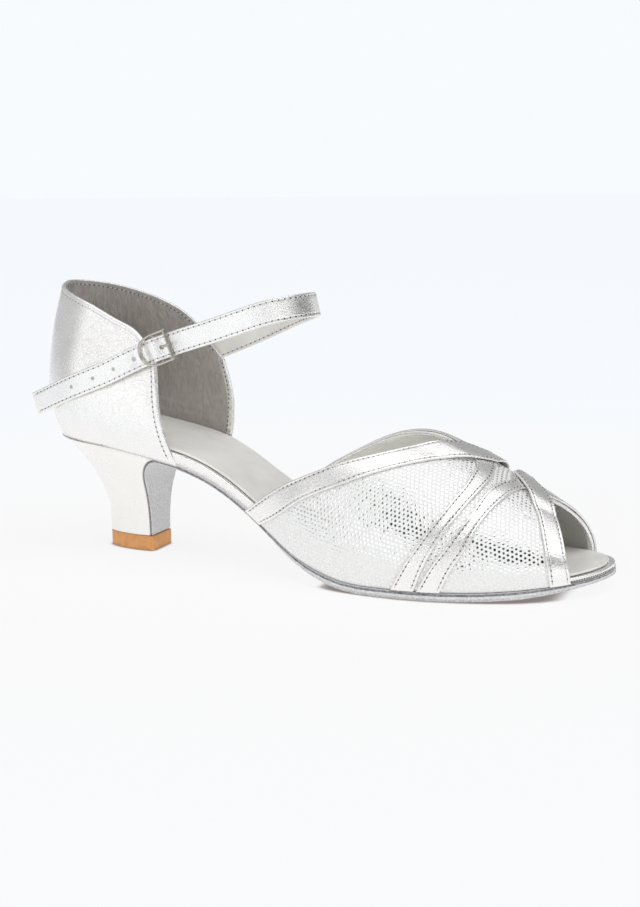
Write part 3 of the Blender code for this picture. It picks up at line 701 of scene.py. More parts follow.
SILVER = silver_leather("silver_leather")
HEEL_SILVER = silver_leather("heel_cover_leather", 1.0, (1.0, 0.985, 0.955), 0.6, 0.32, 0.00001, 0.00007)
STRAP_LINING = plain_leather("strap_lining_leather", (0.97, 0.95, 0.90), 0.5, metallic=0.1)
CUP_LINING = wrinkled_leather("cup_lining_leather", (0.50, 0.465, 0.43), 0.5)
VAMP_LINING = vamp_lining((1.0, 1.0, 0.95), (0.50, 0.49, 0.455))
SOCK_LEATHER = plain_leather("sock_leather", (1.0, 0.99, 0.95), 0.40, metallic=0.1)
SUEDE = suede("sole_suede", (0.56, 0.56, 0.565), (0.86, 0.86, 0.85))
# Silver thread painted grey, darker than the silver leather: painted shade on the thread.
THREAD = plain_leather("silver_thread_in_painted_shade", (0.66, 0.66, 0.65), 0.45, metallic=0.3)
SOLE_CUT = suede("sole_cut_side", (0.74, 0.74, 0.74), (0.97, 0.97, 0.96))
# Dark edge along the sole's top: partly a dark joint, partly painted shade under the upper.
SOLE_SEAM_AND_SHADE = suede("sole_seam_edge_and_shade", (0.09, 0.095, 0.12), (0.50, 0.51, 0.54))
# Grey for the discs inside the strap's holes: painted shade in the holes.
HOLE_SHADE_GREY = plain_leather("strap_hole_painted_shade", (0.58, 0.58, 0.56), 0.7)
# Dark discs at the needle holes: painted shade.
NEEDLE_SHADE_DISC = plain_leather("needle_hole_shade", (0.07, 0.07, 0.07), 0.8)
TIP_RUBBER = paint("tip_rubber", (0.68, 0.31, 0.10), (0.84, 0.40, 0.14), (0.002, 4), 0.5, (0.0008, 4, 0.00005))
NICKEL = paint(
    "nickel", (0.60, 0.56, 0.50), (0.50, 0.47, 0.43), (0.003, 3), (0.0008, 0.10, 0.20), (0.0005, 2, 0.00001),
    edge=(0, 1), Metallic=1.0,
)
FABRIC = paint(
    "white_fabric", (0.95, 0.95, 0.94), (0.99, 0.99, 0.98), (0.004, 4), 0.6, (0.00025, 3, 0.6, 0.00004),
    (0.003, 2, 0.00006), edge=(0, 1), Sheen_Weight=0.2,
)
FOIL = paint(
    "silver_foil", (0.88, 0.88, 0.88), (0.94, 0.94, 0.93), (0.002, 2), 0.09, (0.0006, 2, 0.00002),
    edge=(0, 1), Metallic=1.0,
)


# Heel cup with a folded collar, folded front edges, soft wrinkles in its lining and two rows of stitching
def cup_wall(round_, up, outward):
    """How far the leather stands out of its plain form: a slack counter above the seat and a firm collar fold."""
    p = cup_point(round_, up)
    top = collar_share(round_) * QUARTER_HEIGHT
    height = up * top
    if not outward:
        low_down = ease(height, 2 * MM, 7 * MM) * (1 - ease(height, 14 * MM, 26 * MM))
        wrinkle = ripple(p * (1.0, 1.0, 3.0), 11 * MM, 9) * 0.35 * MM * low_down
        return wrinkle + 0.08 * MM * ripple(p, 15 * MM, 21)
    below = top - height
    swell = 0.10 * MM * ripple(p, 17 * MM, 5) * ease(up, 0.1, 0.3) * (1 - ease(up, 0.8, 0.95))
    channel = -0.16 * MM * hump(below, COLLAR_STITCH_INSET, 0.5 * MM)
    roll = 0.10 * MM * hump(below, 0.9 * MM, 0.8 * MM)
    tuck = -0.25 * MM * (1 - ease(height, 0.0, 1.2 * MM))
    return swell + channel + roll + tuck


def stitch_cup(work, rounds, levels, inside):
    """A row of stitches on the outer or the inner face of the cup."""
    wall = cup_wall(rounds, levels, not inside)
    depth = QUARTER_WALL - wall * 0.5 if inside else -wall
    path, deeper = in_cup(rounds, levels, depth), in_cup(rounds, levels, depth + 0.1 * MM)
    work.row(path, unit(path - deeper) * (-1 if inside else 1))


def build_quarter():
    girth = run_of(cup_point(np.linspace(-1, 1, 400), 0.5))[-1]
    places, full = rounded(girth, QUARTER_WALL / 2, 300)
    rounds = -1 + 2 * places[0] / girth
    count = len(rounds)
    lengths = np.linalg.norm(cup_point(rounds, 1.0) - cup_point(rounds, 0.0), axis=1)
    places, section = rounded(lengths, np.full(count, QUARTER_WALL / 2), 64)
    # The foot of the wall is square, so the points of its lower corner are left out
    foot = CORNER_POINTS - 1
    up, section = (places / lengths[:, None])[:, foot:], section[foot:]
    up[:, 0] = 0.0
    middle = QUARTER_WALL / 2
    half = middle * section * full[:, None]
    r = np.tile(rounds[:, None], (1, up.shape[1]))
    thin = np.minimum(1.0, half / middle)
    out = in_cup(r, up, middle - half - cup_wall(r, up, True) * thin)
    back = in_cup(r, up, middle + half - cup_wall(r, up, False) * thin * 0.5)
    rings = np.concatenate([out, back[:, ::-1]], 1)
    size, folded = up.shape[1], 9
    rings[:, (0, -1), 2] -= GAP

    def slot(i, j):
        """Silver leather folds over the collar and the front edges; the lining starts behind the folds."""
        return 0 if j < size + 3 or i < folded or i > count - folded - 2 else 1

    ringed("heel_cup", rings, [SILVER, CUP_LINING], slot, capped=False, stands_for=("quarter",))
    work = Stitching()
    for inside in (False, True):
        rows = np.linspace(-0.965, 0.965, 500)
        stitch_cup(work, rows, 1 - COLLAR_STITCH_INSET / (collar_share(rows) * QUARTER_HEIGHT), inside)
        for side in (-1, 1):
            levels = np.linspace(0.04, 0.955, 160)
            girth = np.linalg.norm(cup_point(side * 0.95, levels) - cup_point(side, levels), axis=1) / 0.05
            stitch_cup(work, side * (1 - FRONT_STITCH_INSET / girth), levels, inside)
    work.build("heel_cup_stitching")


# Vamp: white fabric with round foil dots, lined, and four leather bands
def vamp_relief(points):
    """Slack in the fabric."""
    return 0.12 * MM * ripple(points, 22 * MM, 3)


def build_vamp():
    v = np.linspace(-1, 1, 241)
    start, end = throat_x(v), toe_x(v)
    places, section = rounded(end - start, np.full(len(v), VAMP_WALL / 2), 90, 5)
    x = start[:, None] + places
    vv = np.tile(v[:, None], (1, x.shape[1]))
    half = VAMP_WALL / 2 * section[None, :]
    out = on_last(x, vv, -VAMP_WALL / 2 + half + vamp_relief(last_point(x, vv)) * section[None, :])
    back = on_last(x, vv, -VAMP_WALL / 2 - half)
    rings = np.concatenate([out, back[:, ::-1]], 1)
    size, folded = x.shape[1], 5

    def slot(i, j):
        """Fabric outside, lining inside, and leather folded over the throat and the toe opening."""
        if j < size:
            return 0
        return 2 if j < size + folded or j > 2 * size - folded - 2 else 1

    ringed("vamp_fabric", rings, [FABRIC, VAMP_LINING, SILVER], slot, stands_for=("vamp",))


def dot_grid():
    """Places of the foil dots: leaning rows that climb towards the toe, laid on the last by its own lengths."""
    xs = np.linspace(90 * MM, 226 * MM, 400)
    run = run_of(last_point(xs, -0.5))
    vs = np.linspace(0, 1, 121)
    girth = {}
    for side in (-1, 1):
        arc = last_point(xs[:, None], side * vs[None, :])
        lengths = np.cumsum(np.linalg.norm(np.diff(arc, axis=1), axis=2), axis=1)
        girth[side] = np.concatenate([np.zeros((len(xs), 1)), lengths], 1)
    reach = int(200 * MM / DOT_STEP)
    i, j = np.meshgrid(np.arange(-reach, reach), np.arange(-reach, reach))
    along = (DOT_STEP * i + DOT_LEAN * j).ravel()
    bend = np.linspace(0, run[-1], 300)
    slope = 0.02 + 0.25 * ease(bend, 60 * MM, 121 * MM)
    climb = np.concatenate([[0], np.cumsum(slope[1:] * np.diff(bend))])
    down = DOT_ROW * j.ravel() - np.interp(along, bend, climb)
    keep = (along > 0) & (along < run[-1]) & (np.abs(down) < 90 * MM)
    places = []
    for r, s in zip(along[keep], down[keep]):
        row = int(round(float(np.interp(r, run, np.arange(len(xs))))))
        side = -1 if s > 0 else 1
        lengths = girth[side][row]
        if abs(s) < lengths[-1]:
            places.append((float(np.interp(r, run, xs)), side * float(np.interp(abs(s), lengths, vs))))
    return np.array(places)


def build_dots():
    x, v = dot_grid().T
    inside = (x > throat_x(v) + 1.0 * MM) & (x < toe_x(v) - 1.0 * MM) & (np.abs(v) < 0.992)
    for edges in (throat_band_edges, toe_band_edges):
        for side in (-1, 1):
            low, high = edges(v, side)
            inside &= ~((x > low + 0.6 * MM) & (x < high - 0.6 * MM))
    x, v = x[inside], v[inside]
    draw = np.random.default_rng(11)
    p, n = last_point(x, v), last_normal(x, v)
    centre = p + n * (vamp_relief(p) + 0.015 * MM)[:, None]
    along = unit(last_point(x + 1e-4, v) - last_point(x - 1e-4, v))
    tilt = draw.normal(scale=0.035, size=(len(x), 2))
    radius = DOT_RADIUS * (1 + draw.normal(scale=0.07, size=len(x)))
    first, second = along + n * tilt[:, :1], np.cross(n, along) + n * tilt[:, 1:]
    sides = 12
    rim = centre[:, None] + circle(sides, first[:, None], second[:, None], radius[:, None, None])
    top = centre + n * 0.05 * MM
    points = np.concatenate([rim, top[:, None]], 1)
    base = np.arange(len(x))[:, None] * (sides + 1)
    k = np.arange(sides)
    faces = np.stack([base + k, base + (k + 1) % sides, np.tile(base + sides, (1, sides))], -1).reshape(-1, 3)
    make("foil_dots", points, faces, [FOIL], merge=False)


def build_band(name, edges, side, node, work):
    """A leather strip with folded edges; the outer side's strip rises where it crosses the inner side's."""
    v = np.linspace(-1, 1, 401)
    low, high = edges(v, side)
    bottom, top = last_point(low, v), last_point(high, v)
    width = np.linalg.norm(top - bottom, axis=1)
    along = unit(np.gradient((bottom + top) / 2, axis=0))
    skew = np.clip(np.linalg.norm(np.cross(along, (top - bottom) / width[:, None]), axis=1), 0.25, 1)
    places, section = rounded(width, BAND_THICKNESS / 2 / skew, 22, 6)
    share = places / width[:, None]
    x = low[:, None] + (high - low)[:, None] * share
    vv = np.tile(v[:, None], (1, x.shape[1]))
    rise = np.full(len(v), GAP)
    if side < 0:
        rise = rise + (BAND_THICKNESS + GAP) * (1 - ease(np.abs(v), 0.12, 0.26))
    from_edge = np.minimum(places, width[:, None] - places) * skew[:, None]
    crown = -BAND_CHANNEL * hump(from_edge, BAND_STITCH_INSET, 0.32 * MM)
    crown += 0.05 * MM * ripple(last_point(x, vv), 9 * MM, 31 + int(side)) * ease(from_edge, 0, 1 * MM)
    half = BAND_THICKNESS / 2 * section[None, :]
    middle = rise[:, None] + BAND_THICKNESS / 2
    out = on_last(x, vv, middle + half + crown)
    back = on_last(x, vv, middle - half)
    ringed(name, np.concatenate([out, back[:, ::-1]], 1), [SILVER], stands_for=(node,))
    inset = (high - low) * (BAND_STITCH_INSET / skew / width)
    for xs in (low + inset, high - inset):
        path = on_last(xs, v, rise + BAND_THICKNESS - BAND_CHANNEL)
        keep = path[:, 2] > feather(path[:, 0]) + GAP + 0.3 * MM
        work.row(path[keep], last_normal(xs, v)[keep])


# Sock, insole board, outsole, heel and tip
def slab(name, rows, radius, paints, node, top_only=True, across=26, corner=6, seams=None, fray=0.0, cut_rows=0):
    """A board from rows of (top point, low point, left y, right y) with the rim of its top rounded.

    Seams gives each row the depth of a recessed strip below that rim, fray is how uneven the sides are,
    and the sides of the first cut_rows rows have the third paint. The strip and the top rim's corners have the
    second paint, dark: a dark joint, darkened further as painted shade under the upper's edge.
    """
    rings = []
    for number, (top, low, left, right) in enumerate(rows):
        top, thick = np.array(top), np.array(low) - np.array(top)
        width, total = right - left, max(1e-9, np.linalg.norm(thick))
        places, section = rounded(width, min(radius, max(1e-6, width * 0.49)), across, corner)
        places = places[0]
        depth = (1 - section) * radius * min(1.0, width / (2 * radius)) / total

        def at(share, y):
            x, z = top + thick * share
            return x, y, z

        upper = [at(d, left + s) for s, d in zip(places, depth)]
        lower = [at(1.0 if top_only else 1 - d, left + s) for s, d in zip(places, depth)]
        if seams is None:
            rings.append(upper + lower[::-1])
            continue
        seam = seams[number] / total
        marks = [(seam * 0.5, SEAM_DEPTH), (seam, SEAM_DEPTH), (seam + 0.05, 0.0), (0.5 + 0.5 * seam, 0.0)]
        inward = min(1.0, width / (4 * MM))
        outer, inner = [[at(d, y + way * inset * inward) for d, inset in marks] for y, way in ((right, -1), (left, 1))]
        rings.append(upper + outer + lower[::-1] + inner[::-1])
    rings = np.array(rings)
    if seams is None:
        return ringed(name, rings, paints, stands_for=(node,))
    size, count = rings.shape[1], len(places)
    sides = slice(count + 2, 2 * count + 6)
    uneven = ripple(rings, 1.6 * MM, 77) * 0.6 + ripple(rings, 0.7 * MM, 78) * 0.4
    rings[:, sides, 1] += fray * uneven[:, sides]
    # The sole's top corners and the recessed strip below them are painted dark: a dark joint, darkened further as
    # painted shade under the upper's edge.
    dark = set(range(count - 3, count + 2)) | set(range(size - 3, size)) | {0, 1}
    cut = set(range(count + 2, count + 5)) | set(range(2 * count + 4, size - 3))

    def slot(i, j):
        return 1 if j in dark else 2 if j in cut and i < cut_rows else 0

    return ringed(name, rings, paints, slot, stands_for=(node,))


def insole_inset(x):
    """The wrapped rim runs a little way into the walls of the upper, so no step shows where they end."""
    into_cup = 0.6 * MM * (1 - ease(x, 58 * MM, 72 * MM))
    into_vamp = 0.6 * MM * ease(x, 88 * MM, 100 * MM) * (1 - ease(x, 214 * MM, 226 * MM))
    return into_cup + into_vamp


def insole_foot(x):
    return feather(x) + GAP


def insole_top(x):
    thinner = (INSOLE_THICKNESS - TOE_INSOLE_THICKNESS) * (1 - ease(x, 95 * MM, 128 * MM))
    return insole_foot(x) + TOE_INSOLE_THICKNESS + thinner


def sock_foot(x):
    return insole_top(x) + GAP


def sock_top(x):
    return sock_foot(x) + SOCK_THICKNESS


def board_rows(rim, back, toe_end, bottom, top, ball=200 * MM):
    """Rows of a board, close together at its two round ends."""
    xs = list(back + (HEEL_ROUND - back) * (1 - np.cos(np.linspace(0.05, math.pi / 2, 40))))
    xs += list(np.linspace(HEEL_ROUND, ball, 260)[1:])
    xs += list(ball + (toe_end - ball) * np.sin(np.linspace(0, math.pi / 2 - 0.05, 70))[1:])
    rows = []
    for x in xs:
        half = float(half_width(x, max(insole_inset(x), rim), back, SOLE_LENGTH - toe_end))
        middle = float(centre_line(x))
        rows.append(((x, float(top(x))), (x, float(bottom(x))), middle - half, middle + half))
    return rows


def build_insole():
    rows = board_rows(0.0, QUARTER_WALL + 2 * GAP, SOLE_LENGTH, insole_foot, insole_top)
    slab("insole_wrap", rows, 0.6 * MM, [SILVER], "insole")
    work = Stitching()
    start = 222 * MM
    xs = start + (SOLE_LENGTH - start - 0.02 * MM) * np.sin(np.linspace(0, 1, 200) * math.pi / 2)
    for side in (-1, 1):
        path = np.stack([xs, centre_line(xs) + side * half_width(xs), insole_foot(xs) + 0.55 * MM], 1)
        way = unit(np.gradient(path, axis=0))
        out = unit(np.stack([way[:, 1], -way[:, 0], np.zeros(len(xs))], 1))
        out = np.where((out[:, 1] * side < 0)[:, None], -out, out)
        work.row(path, out, 1.05 * MM, 0.12 * MM)
    work.build("insole_stitching")


def build_sock():
    rows = board_rows(SOCK_RIM, QUARTER_WALL + 3 * GAP, SOLE_LENGTH - SOCK_RIM, sock_foot, sock_top)
    slab("sock_lining", rows, 0.5 * MM, [SOCK_LEATHER], "sock")


BREAST = table("row x z half", [
    (0, 62.60, 40.55, 23.56),
    (1, 60.16, 40.85, 22.84),
    (2, 56.41, 41.10, 21.29),
    (3, 52.66, 41.15, 19.75),
    (4, 49.38, 40.80, 18.30),
    (5, 46.47, 39.60, 17.07),
    (6, 44.50, 37.80, 16.14),
    (7, 43.28, 35.50, 15.32),
    (8, 42.53, 32.50, 14.18),
    (9, 42.06, 28.00, 12.12),
    (10, 41.87, 24.00, 10.47),
    (11, 41.78, 20.00, 9.34),
    (12, 41.69, 15.00, 8.52),
    (13, 41.69, 11.00, 8.21),
    (14, 41.69, 6.90, 8.10),
])
breast = {name: curve(BREAST, name) for name in ("x", "z", "half")}


def toe_share(x):
    return ease(x, SOLE_LENGTH - TOE_ROUND, SOLE_LENGTH)


def sole_margin(x):
    wide = SHANK_MARGIN + (SOLE_MARGIN - SHANK_MARGIN) * ease(x, 100 * MM, 136 * MM)
    return wide + (TOE_MARGIN - SOLE_MARGIN) * toe_share(x)


def build_outsole():
    toe_end = SOLE_LENGTH + TOE_MARGIN
    xs = list(toe_end - (TOE_ROUND + TOE_MARGIN) * (1 - np.cos(np.linspace(0.06, math.pi / 2, 60))))
    xs += list(np.linspace(xs[-1], 65 * MM, 230)[1:])
    rows, seams = [], []
    for x in xs:
        seams.append(0.62 * MM + 0.18 * MM * float(ease(x, 110 * MM, 150 * MM) - 1.6 * toe_share(x)))
        thick = SHANK_SOLE_THICKNESS + (SOLE_THICKNESS - SHANK_SOLE_THICKNESS) * float(ease(x, 100 * MM, FLAT_REAR))
        thick += (TOE_SOLE_THICKNESS - SOLE_THICKNESS) * float(toe_share(x))
        half = float(half_width(x, -float(sole_margin(x)), 0.0, -TOE_MARGIN))
        slope = float(feather(x + 1e-4) - feather(x - 1e-4)) / 2e-4
        flat = FLAT_REAR <= x <= FLAT_FRONT
        down = np.array([0.0, -1.0]) if flat else np.array([slope, -1.0]) / math.hypot(slope, 1.0)
        top, middle = np.array([x, float(feather(x))]), float(centre_line(x))
        rows.append((top, top + down * thick, middle - half, middle + half))
    # The shank sole turns down the heel's breast
    steps = np.linspace(0, len(BREAST["row"]) - 1, 141)
    path = np.stack([breast["x"](steps), breast["z"](steps)], 1) * MM
    for p, a, step in zip(path, unit(np.gradient(path, axis=0)), steps):
        half = float(breast["half"](step)) * MM - 0.45 * MM * float(ease(step, 2, 5))
        rows.append((p, p + SHANK_SOLE_THICKNESS * np.array([-a[1], a[0]]), -half, half))
        seams.append(0.42 * MM)
    paints = [SUEDE, SOLE_SEAM_AND_SHADE, SOLE_CUT]
    slab("suede_sole", rows, 0.30 * MM, paints, "outsole", False, 30, 5, seams, 0.10 * MM, len(xs))


HEEL_BACK = table("level share", [(0, 0), (0.23, 0.005), (0.446, 0.145), (0.66, 0.385), (0.847, 0.762), (1, 1)])
HEEL_SIDE = table("level share", [
    (0, 0), (0.2, 0.01), (0.355, 0.066), (0.54, 0.217), (0.737, 0.39), (0.83, 0.48), (0.92, 0.62), (1, 1),
])
heel_back = curve(HEEL_BACK, "share", steady_slopes)
heel_side = curve(HEEL_SIDE, "share", steady_slopes)
HEEL_FULLNESS = 0.93


def heel_ring(level, front_x, front_half, corner, points=120):
    """One level: from the middle of the breast round the outer corner, the back and the inner corner."""
    back = TIP_BACK * (1 - float(heel_back(level)))
    seat_wide = float(half_width(40 * MM))
    wide = TIP_HALF_WIDTH + float(heel_side(level)) * (seat_wide - TIP_HALF_WIDTH)
    depth = front_x - back
    last_s = 2 / math.pi * math.acos(1 - (1 - corner / depth) ** (1 / HEEL_FULLNESS))
    s = np.linspace(0, last_s, points)
    run = depth * (1 - np.cos(s * math.pi / 2)) ** HEEL_FULLNESS
    x = back + run
    oval = np.sqrt(np.maximum(0.0, 1 - np.maximum(0.0, 1 - run / min(depth, 22 * MM)) ** 2))
    seat_shape = half_width(run / depth * front_x) / seat_wide
    shape = half_width(x) if level > 0.999 else wide * (oval + (seat_shape - oval) * level)
    shape = shape + (front_half - shape) * ease(s, 0.6, 1.0)
    turn = np.linspace(math.pi / 2, 0, 7)[1:]
    cx = np.concatenate([x, front_x - corner + corner * np.cos(turn)])
    cy = np.concatenate([shape, shape[-1] - corner + corner * np.sin(turn)])
    z = TIP_HEIGHT + GAP + level * (feather(cx) - TIP_HEIGHT - GAP)
    outer = np.stack([cx, -cy, z], 1)[::-1]
    inner = np.stack([cx, cy, z], 1)[1:]
    return np.concatenate([outer, inner])


def build_heel():
    rows = [(0.0, TIP_FRONT - 1.7 * MM, TIP_HALF_WIDTH)]
    path = np.stack([BREAST["x"], BREAST["z"]], 1) * MM
    for i in range(len(path) - 2, 0, -1):
        a = unit(path[i + 1] - path[i - 1])
        x, z = path[i] - GAP * np.array([-a[1], a[0]])
        level = float((z - TIP_HEIGHT - GAP) / (feather(x) - TIP_HEIGHT - GAP))
        rows.append((level, x, BREAST["half"][i] * MM))
    rows = table("level front half", [row for row in rows if row[0] < 0.985] + [(1.0, 60.5 * MM, 23.2 * MM)])
    front = curve(rows, "front", steady_slopes)
    half = curve(rows, "half", steady_slopes)
    levels = np.concatenate([np.linspace(0, 0.9, 90), np.linspace(0.9, 1.0, 40)[1:]])
    rings = [heel_ring(level, float(front(level)), float(half(level)), 0.7 * MM) for level in levels]
    ringed("covered_heel", rings, [HEEL_SILVER], stands_for=("heel",))


def build_tip():
    outline = heel_ring(0.0, TIP_FRONT, TIP_HALF_WIDTH, 0.5 * MM) * (1, 1, 0)
    middle, top = np.array([TIP_CENTRE_X, 0.0, 0.0]), TIP_HEIGHT / MM
    # Heights and how far the edge is pulled in there, in mm
    rounding = ((0.0, 0.35), (0.12, 0.12), (0.35, 0.0), (top - 0.3, 0.0), (top - 0.08, 0.08), (top, 0.25))
    rings = [middle + (outline - middle) * (1 - pull / 9) + (0, 0, z * MM) for z, pull in rounding]
    ringed("heel_tip_rubber", rings, [TIP_RUBBER], stands_for=("heel_tip",))


# Strap, buckle and tab
HOLES = [(-3.3 * MM, 0.9 * MM)] + [(place * MM, 0.8 * MM) for place in (10.3, 20.1, 30.2, 41.0)]


def strap_section():
    """Places up and out of the strap's middle line: leather over a lining 0.1 mm narrower, a fine line between."""
    half_w, half_t, r = STRAP_WIDTH / 2, STRAP_THICKNESS / 2, 0.42 * MM
    low_w = half_w - 0.1 * MM - r
    high_w, high, low = half_w - r, half_t - r, -half_t + r

    def turn(w, o, start, end):
        return [(w + r * math.cos(t), o + r * math.sin(t)) for t in np.linspace(start, end, 5)]

    def face(start, end, level, groove):
        places = np.linspace(start, end, 24)
        return [(w, level + groove * hump(half_w - abs(w), STRAP_STITCH_INSET, 0.3 * MM)) for w in places]

    line = [(half_w - 0.02 * MM, 0.12 * MM), (half_w - 0.28 * MM, 0.0), (half_w - 0.05 * MM, -0.12 * MM)]
    quarter = math.pi / 2
    section = face(-high_w, high_w, half_t, -0.12 * MM) + turn(high_w, high, quarter, 0)[1:] + line
    section += turn(low_w, low, 0, -quarter)[1:] + face(low_w, -low_w, -half_t, 0.10 * MM)[1:]
    section += turn(-low_w, low, -quarter, -math.pi)[1:] + [(-w, o) for w, o in reversed(line)]
    return np.array(section + turn(-high_w, high, math.pi, quarter)[:-1])


def punch_holes(strap, sides=20):
    """Cuts the holes through the strap and gives their sides the lining's paint."""
    points, faces = [], []
    for hole, radius in HOLES:
        p, a, u, n = strap_frame(hole)
        start, rim = 2 * sides * len(points), circle(sides, a, u, radius)
        points.append(np.concatenate([p - n * 5 * MM + rim, p + n * 6 * MM + rim]))
        rod = grid_faces(2, sides) + [range(sides), range(sides, 2 * sides)]
        faces += [[start + k for k in f] for f in rod]
    tool = mesh_object("holes", points, faces, [STRAP_LINING])
    cut = strap.modifiers.new("holes", "BOOLEAN")
    cut.operation, cut.solver, cut.object = "DIFFERENCE", "EXACT", tool
    result = bpy.data.meshes.new_from_object(strap.evaluated_get(bpy.context.evaluated_depsgraph_get()))
    strap.modifiers.clear()
    strap.data = result
    result.set_sharp_from_angle(angle=math.radians(50))
    bpy.data.objects.remove(tool)


def build_strap():
    middle = LINE + OUT * weave(FROM_BUCKLE)[:, None]
    section = strap_section()
    w, o = section.T
    rings = middle[:, None] + UP[:, None] * w[None, :, None] + OUT[:, None] * o[None, :, None]
    size, last = len(section), (len(rings) - 1) * len(section)
    lining = (o + np.roll(o, -1) < 0).astype(int).tolist()
    faces = grid_faces(len(rings), size) + [range(size), range(last, last + size)]
    slots = lining * (len(rings) - 1) + [0, 0]
    strap = make("ankle_strap_leather", rings, faces, [SILVER, STRAP_LINING], slots, merge=False)
    punch_holes(strap)
    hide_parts("ankle_strap")
    half_w, half_t = STRAP_WIDTH / 2, STRAP_THICKNESS / 2
    # Grey discs just under the face of each spare hole: painted shade in the holes.
    shade_discs, sides = [], 16
    for hole, radius in HOLES[1:]:
        p, a, u, n = strap_frame(hole)
        shade_discs.append(p + n * (half_t - 0.35 * MM) + circle(sides, a, u, radius + 0.05 * MM))
    faces = [range(sides * i, sides * (i + 1)) for i in range(len(shade_discs))]
    make("strap_hole_shade_discs", shade_discs, faces, [HOLE_SHADE_GREY], merge=False)
    work = Stitching()
    for edge_side in (-1, 1):
        for outside in (1, -1):
            path = middle + UP * edge_side * (half_w - STRAP_STITCH_INSET) + OUT * outside * (half_t - 0.11 * MM)
            work.row(path, OUT * outside, STRAP_STITCH_PITCH, margin=0.8 * MM)
    work.build("ankle_strap_stitching")


def buckle_point(along_, up_, out_):
    """Points of the buckle's own flat frame; along_ runs towards the ankle."""
    p, a, u, n = strap_frame(0.0)
    return p - a * along_ + u * up_ + n * out_


def tube(name, path, radius, sides, stands_for=()):
    """A nickel rod, its rings turned from the axis of the strap that the path never runs along."""
    path = np.asarray(path)
    tangent = unit(np.gradient(path, axis=0))
    across = min(strap_frame(0.0)[1:], key=lambda axis: np.abs(tangent @ axis).max())
    first = unit(across - tangent * (tangent @ across)[:, None])
    second = np.cross(tangent, first)
    rings = path[:, None] + circle(sides, first[:, None], second[:, None], radius)
    last = (len(path) - 1) * sides
    faces = grid_faces(len(path), sides) + [range(sides), range(last, last + sides)]
    return make(name, rings, faces, [NICKEL], stands_for=stands_for)


def smooth_path(points, count):
    rows = table("s a b", [(i, *p) for i, p in enumerate(points)])
    s = np.linspace(0, len(points) - 1, count)
    return np.stack([curve(rows, "a")(s), curve(rows, "b")(s)], 1)


def build_buckle():
    wire, bar_radius, bend = 0.5 * MM, 0.68 * MM, 1.2 * MM
    front, side, plane = BUCKLE_HALF_LENGTH, STRAP_WIDTH / 2 + GAP + 2 * BUCKLE_WIRE - wire, 1.3 * MM
    bow = front + BUCKLE_WIRE - wire - 0.3 * MM
    path = [(a, -side) for a in np.linspace(front, bend, 12)[:-1]]
    for t in np.linspace(0, math.pi, 70):
        across = side * math.copysign(abs(math.cos(t)) ** 0.85, math.cos(t))
        path.append((bend - (bow + bend) * math.sin(t) ** 0.9, -across))
    path += [(a, side) for a in np.linspace(bend, front, 12)[1:]]
    loop = np.array([buckle_point(a, u, plane) for a, u in path])
    keep = [0] + [i for i in range(1, len(loop)) if np.linalg.norm(loop[i] - loop[i - 1]) > 0.05 * MM]
    tube("buckle_wire", loop[keep], wire, 20, stands_for=("buckle_frame",))
    reach = side + 0.35 * MM
    tube("buckle_straight_bar", [buckle_point(front, u, plane) for u in np.linspace(-reach, reach, 24)], bar_radius, 20)
    ends = side - 0.1 * MM
    bar = [
        (ends, plane), (ends - 0.3 * MM, plane - 1.2 * MM), (ends - 1.0 * MM, -1.9 * MM), (ends - 2.0 * MM, -2.2 * MM),
    ]
    bar = smooth_path(bar + [(-u, o) for u, o in reversed(bar)], 60)
    tube("buckle_bar", [buckle_point(0.0, u, o) for u, o in bar], 0.6 * MM, 14)
    pin = [
        (0.5, -0.12), (1.6, -0.35), (2.8, -0.35), (3.5, 0.35), (4.0, 1.3), (4.7, 2.15), (5.6, 2.55), (6.7, 2.6),
        (7.6, 2.3),
    ]
    pin = [buckle_point(a, 0.0, o) for a, o in smooth_path(pin, 60) * MM]
    tube("buckle_pin", pin, 0.42 * MM, 12, stands_for=("buckle_prong",))


def build_tab(width=6.4 * MM, thick=0.7 * MM):
    centre, middle = -2.2 * MM, BUCKLE_WIRE + GAP + thick / 2
    line = [(-11.0, -3.3), (-8.5, -3.3), (-6.0, -3.3), (-4.0, -3.3), (-2.4, -3.45)]
    path = [(a * MM, o * MM) for a, o in line]
    for t in np.radians(np.linspace(-105, 125, 24)):
        path.append((middle * math.cos(t), centre + middle * math.sin(t)))
    path = np.array(path)
    run = unit(np.gradient(path, axis=0))
    normal = np.stack([run[:, 1], -run[:, 0]], 1)
    places, section = rounded(width, thick / 2, 10, 5)
    up = places[0] - width / 2

    def face(p, n):
        return [buckle_point(p[0] + n[0] * f, w, p[1] + n[1] * f) for w, f in zip(up, section)]

    rings = [face(p, n) + face(p, -n)[::-1] for p, n in zip(path, normal * thick / 2)]
    ringed("buckle_loop", rings, [SILVER], stands_for=("buckle_tab",))


build_quarter()
build_vamp()
build_dots()
band_work = Stitching()
build_band("throat_band_upper", throat_band_edges, -1, "throat_band_over", band_work)
build_band("throat_band_lower", throat_band_edges, 1, "throat_band_under", band_work)
build_band("toe_band_upper", toe_band_edges, -1, "toe_band_over", band_work)
build_band("toe_band_lower", toe_band_edges, 1, "toe_band_under", band_work)
band_work.build("band_stitching")
build_insole()
build_sock()
build_outsole()
build_heel()
build_tip()
build_strap()
build_buckle()
build_tab()

# Camera fitted to the photo: its angles, the point it looks at in the shoe's sizes, how far off it stands and its
# focal length as a share of the photo's height
CAMERA_ANGLES = (22.821, 10.394, -0.559)
LOOKED_AT = (0.116265, 0.0, 0.045053)
CAMERA_DISTANCE = 0.577999
FOCAL_LENGTH = 1436.857 / 907


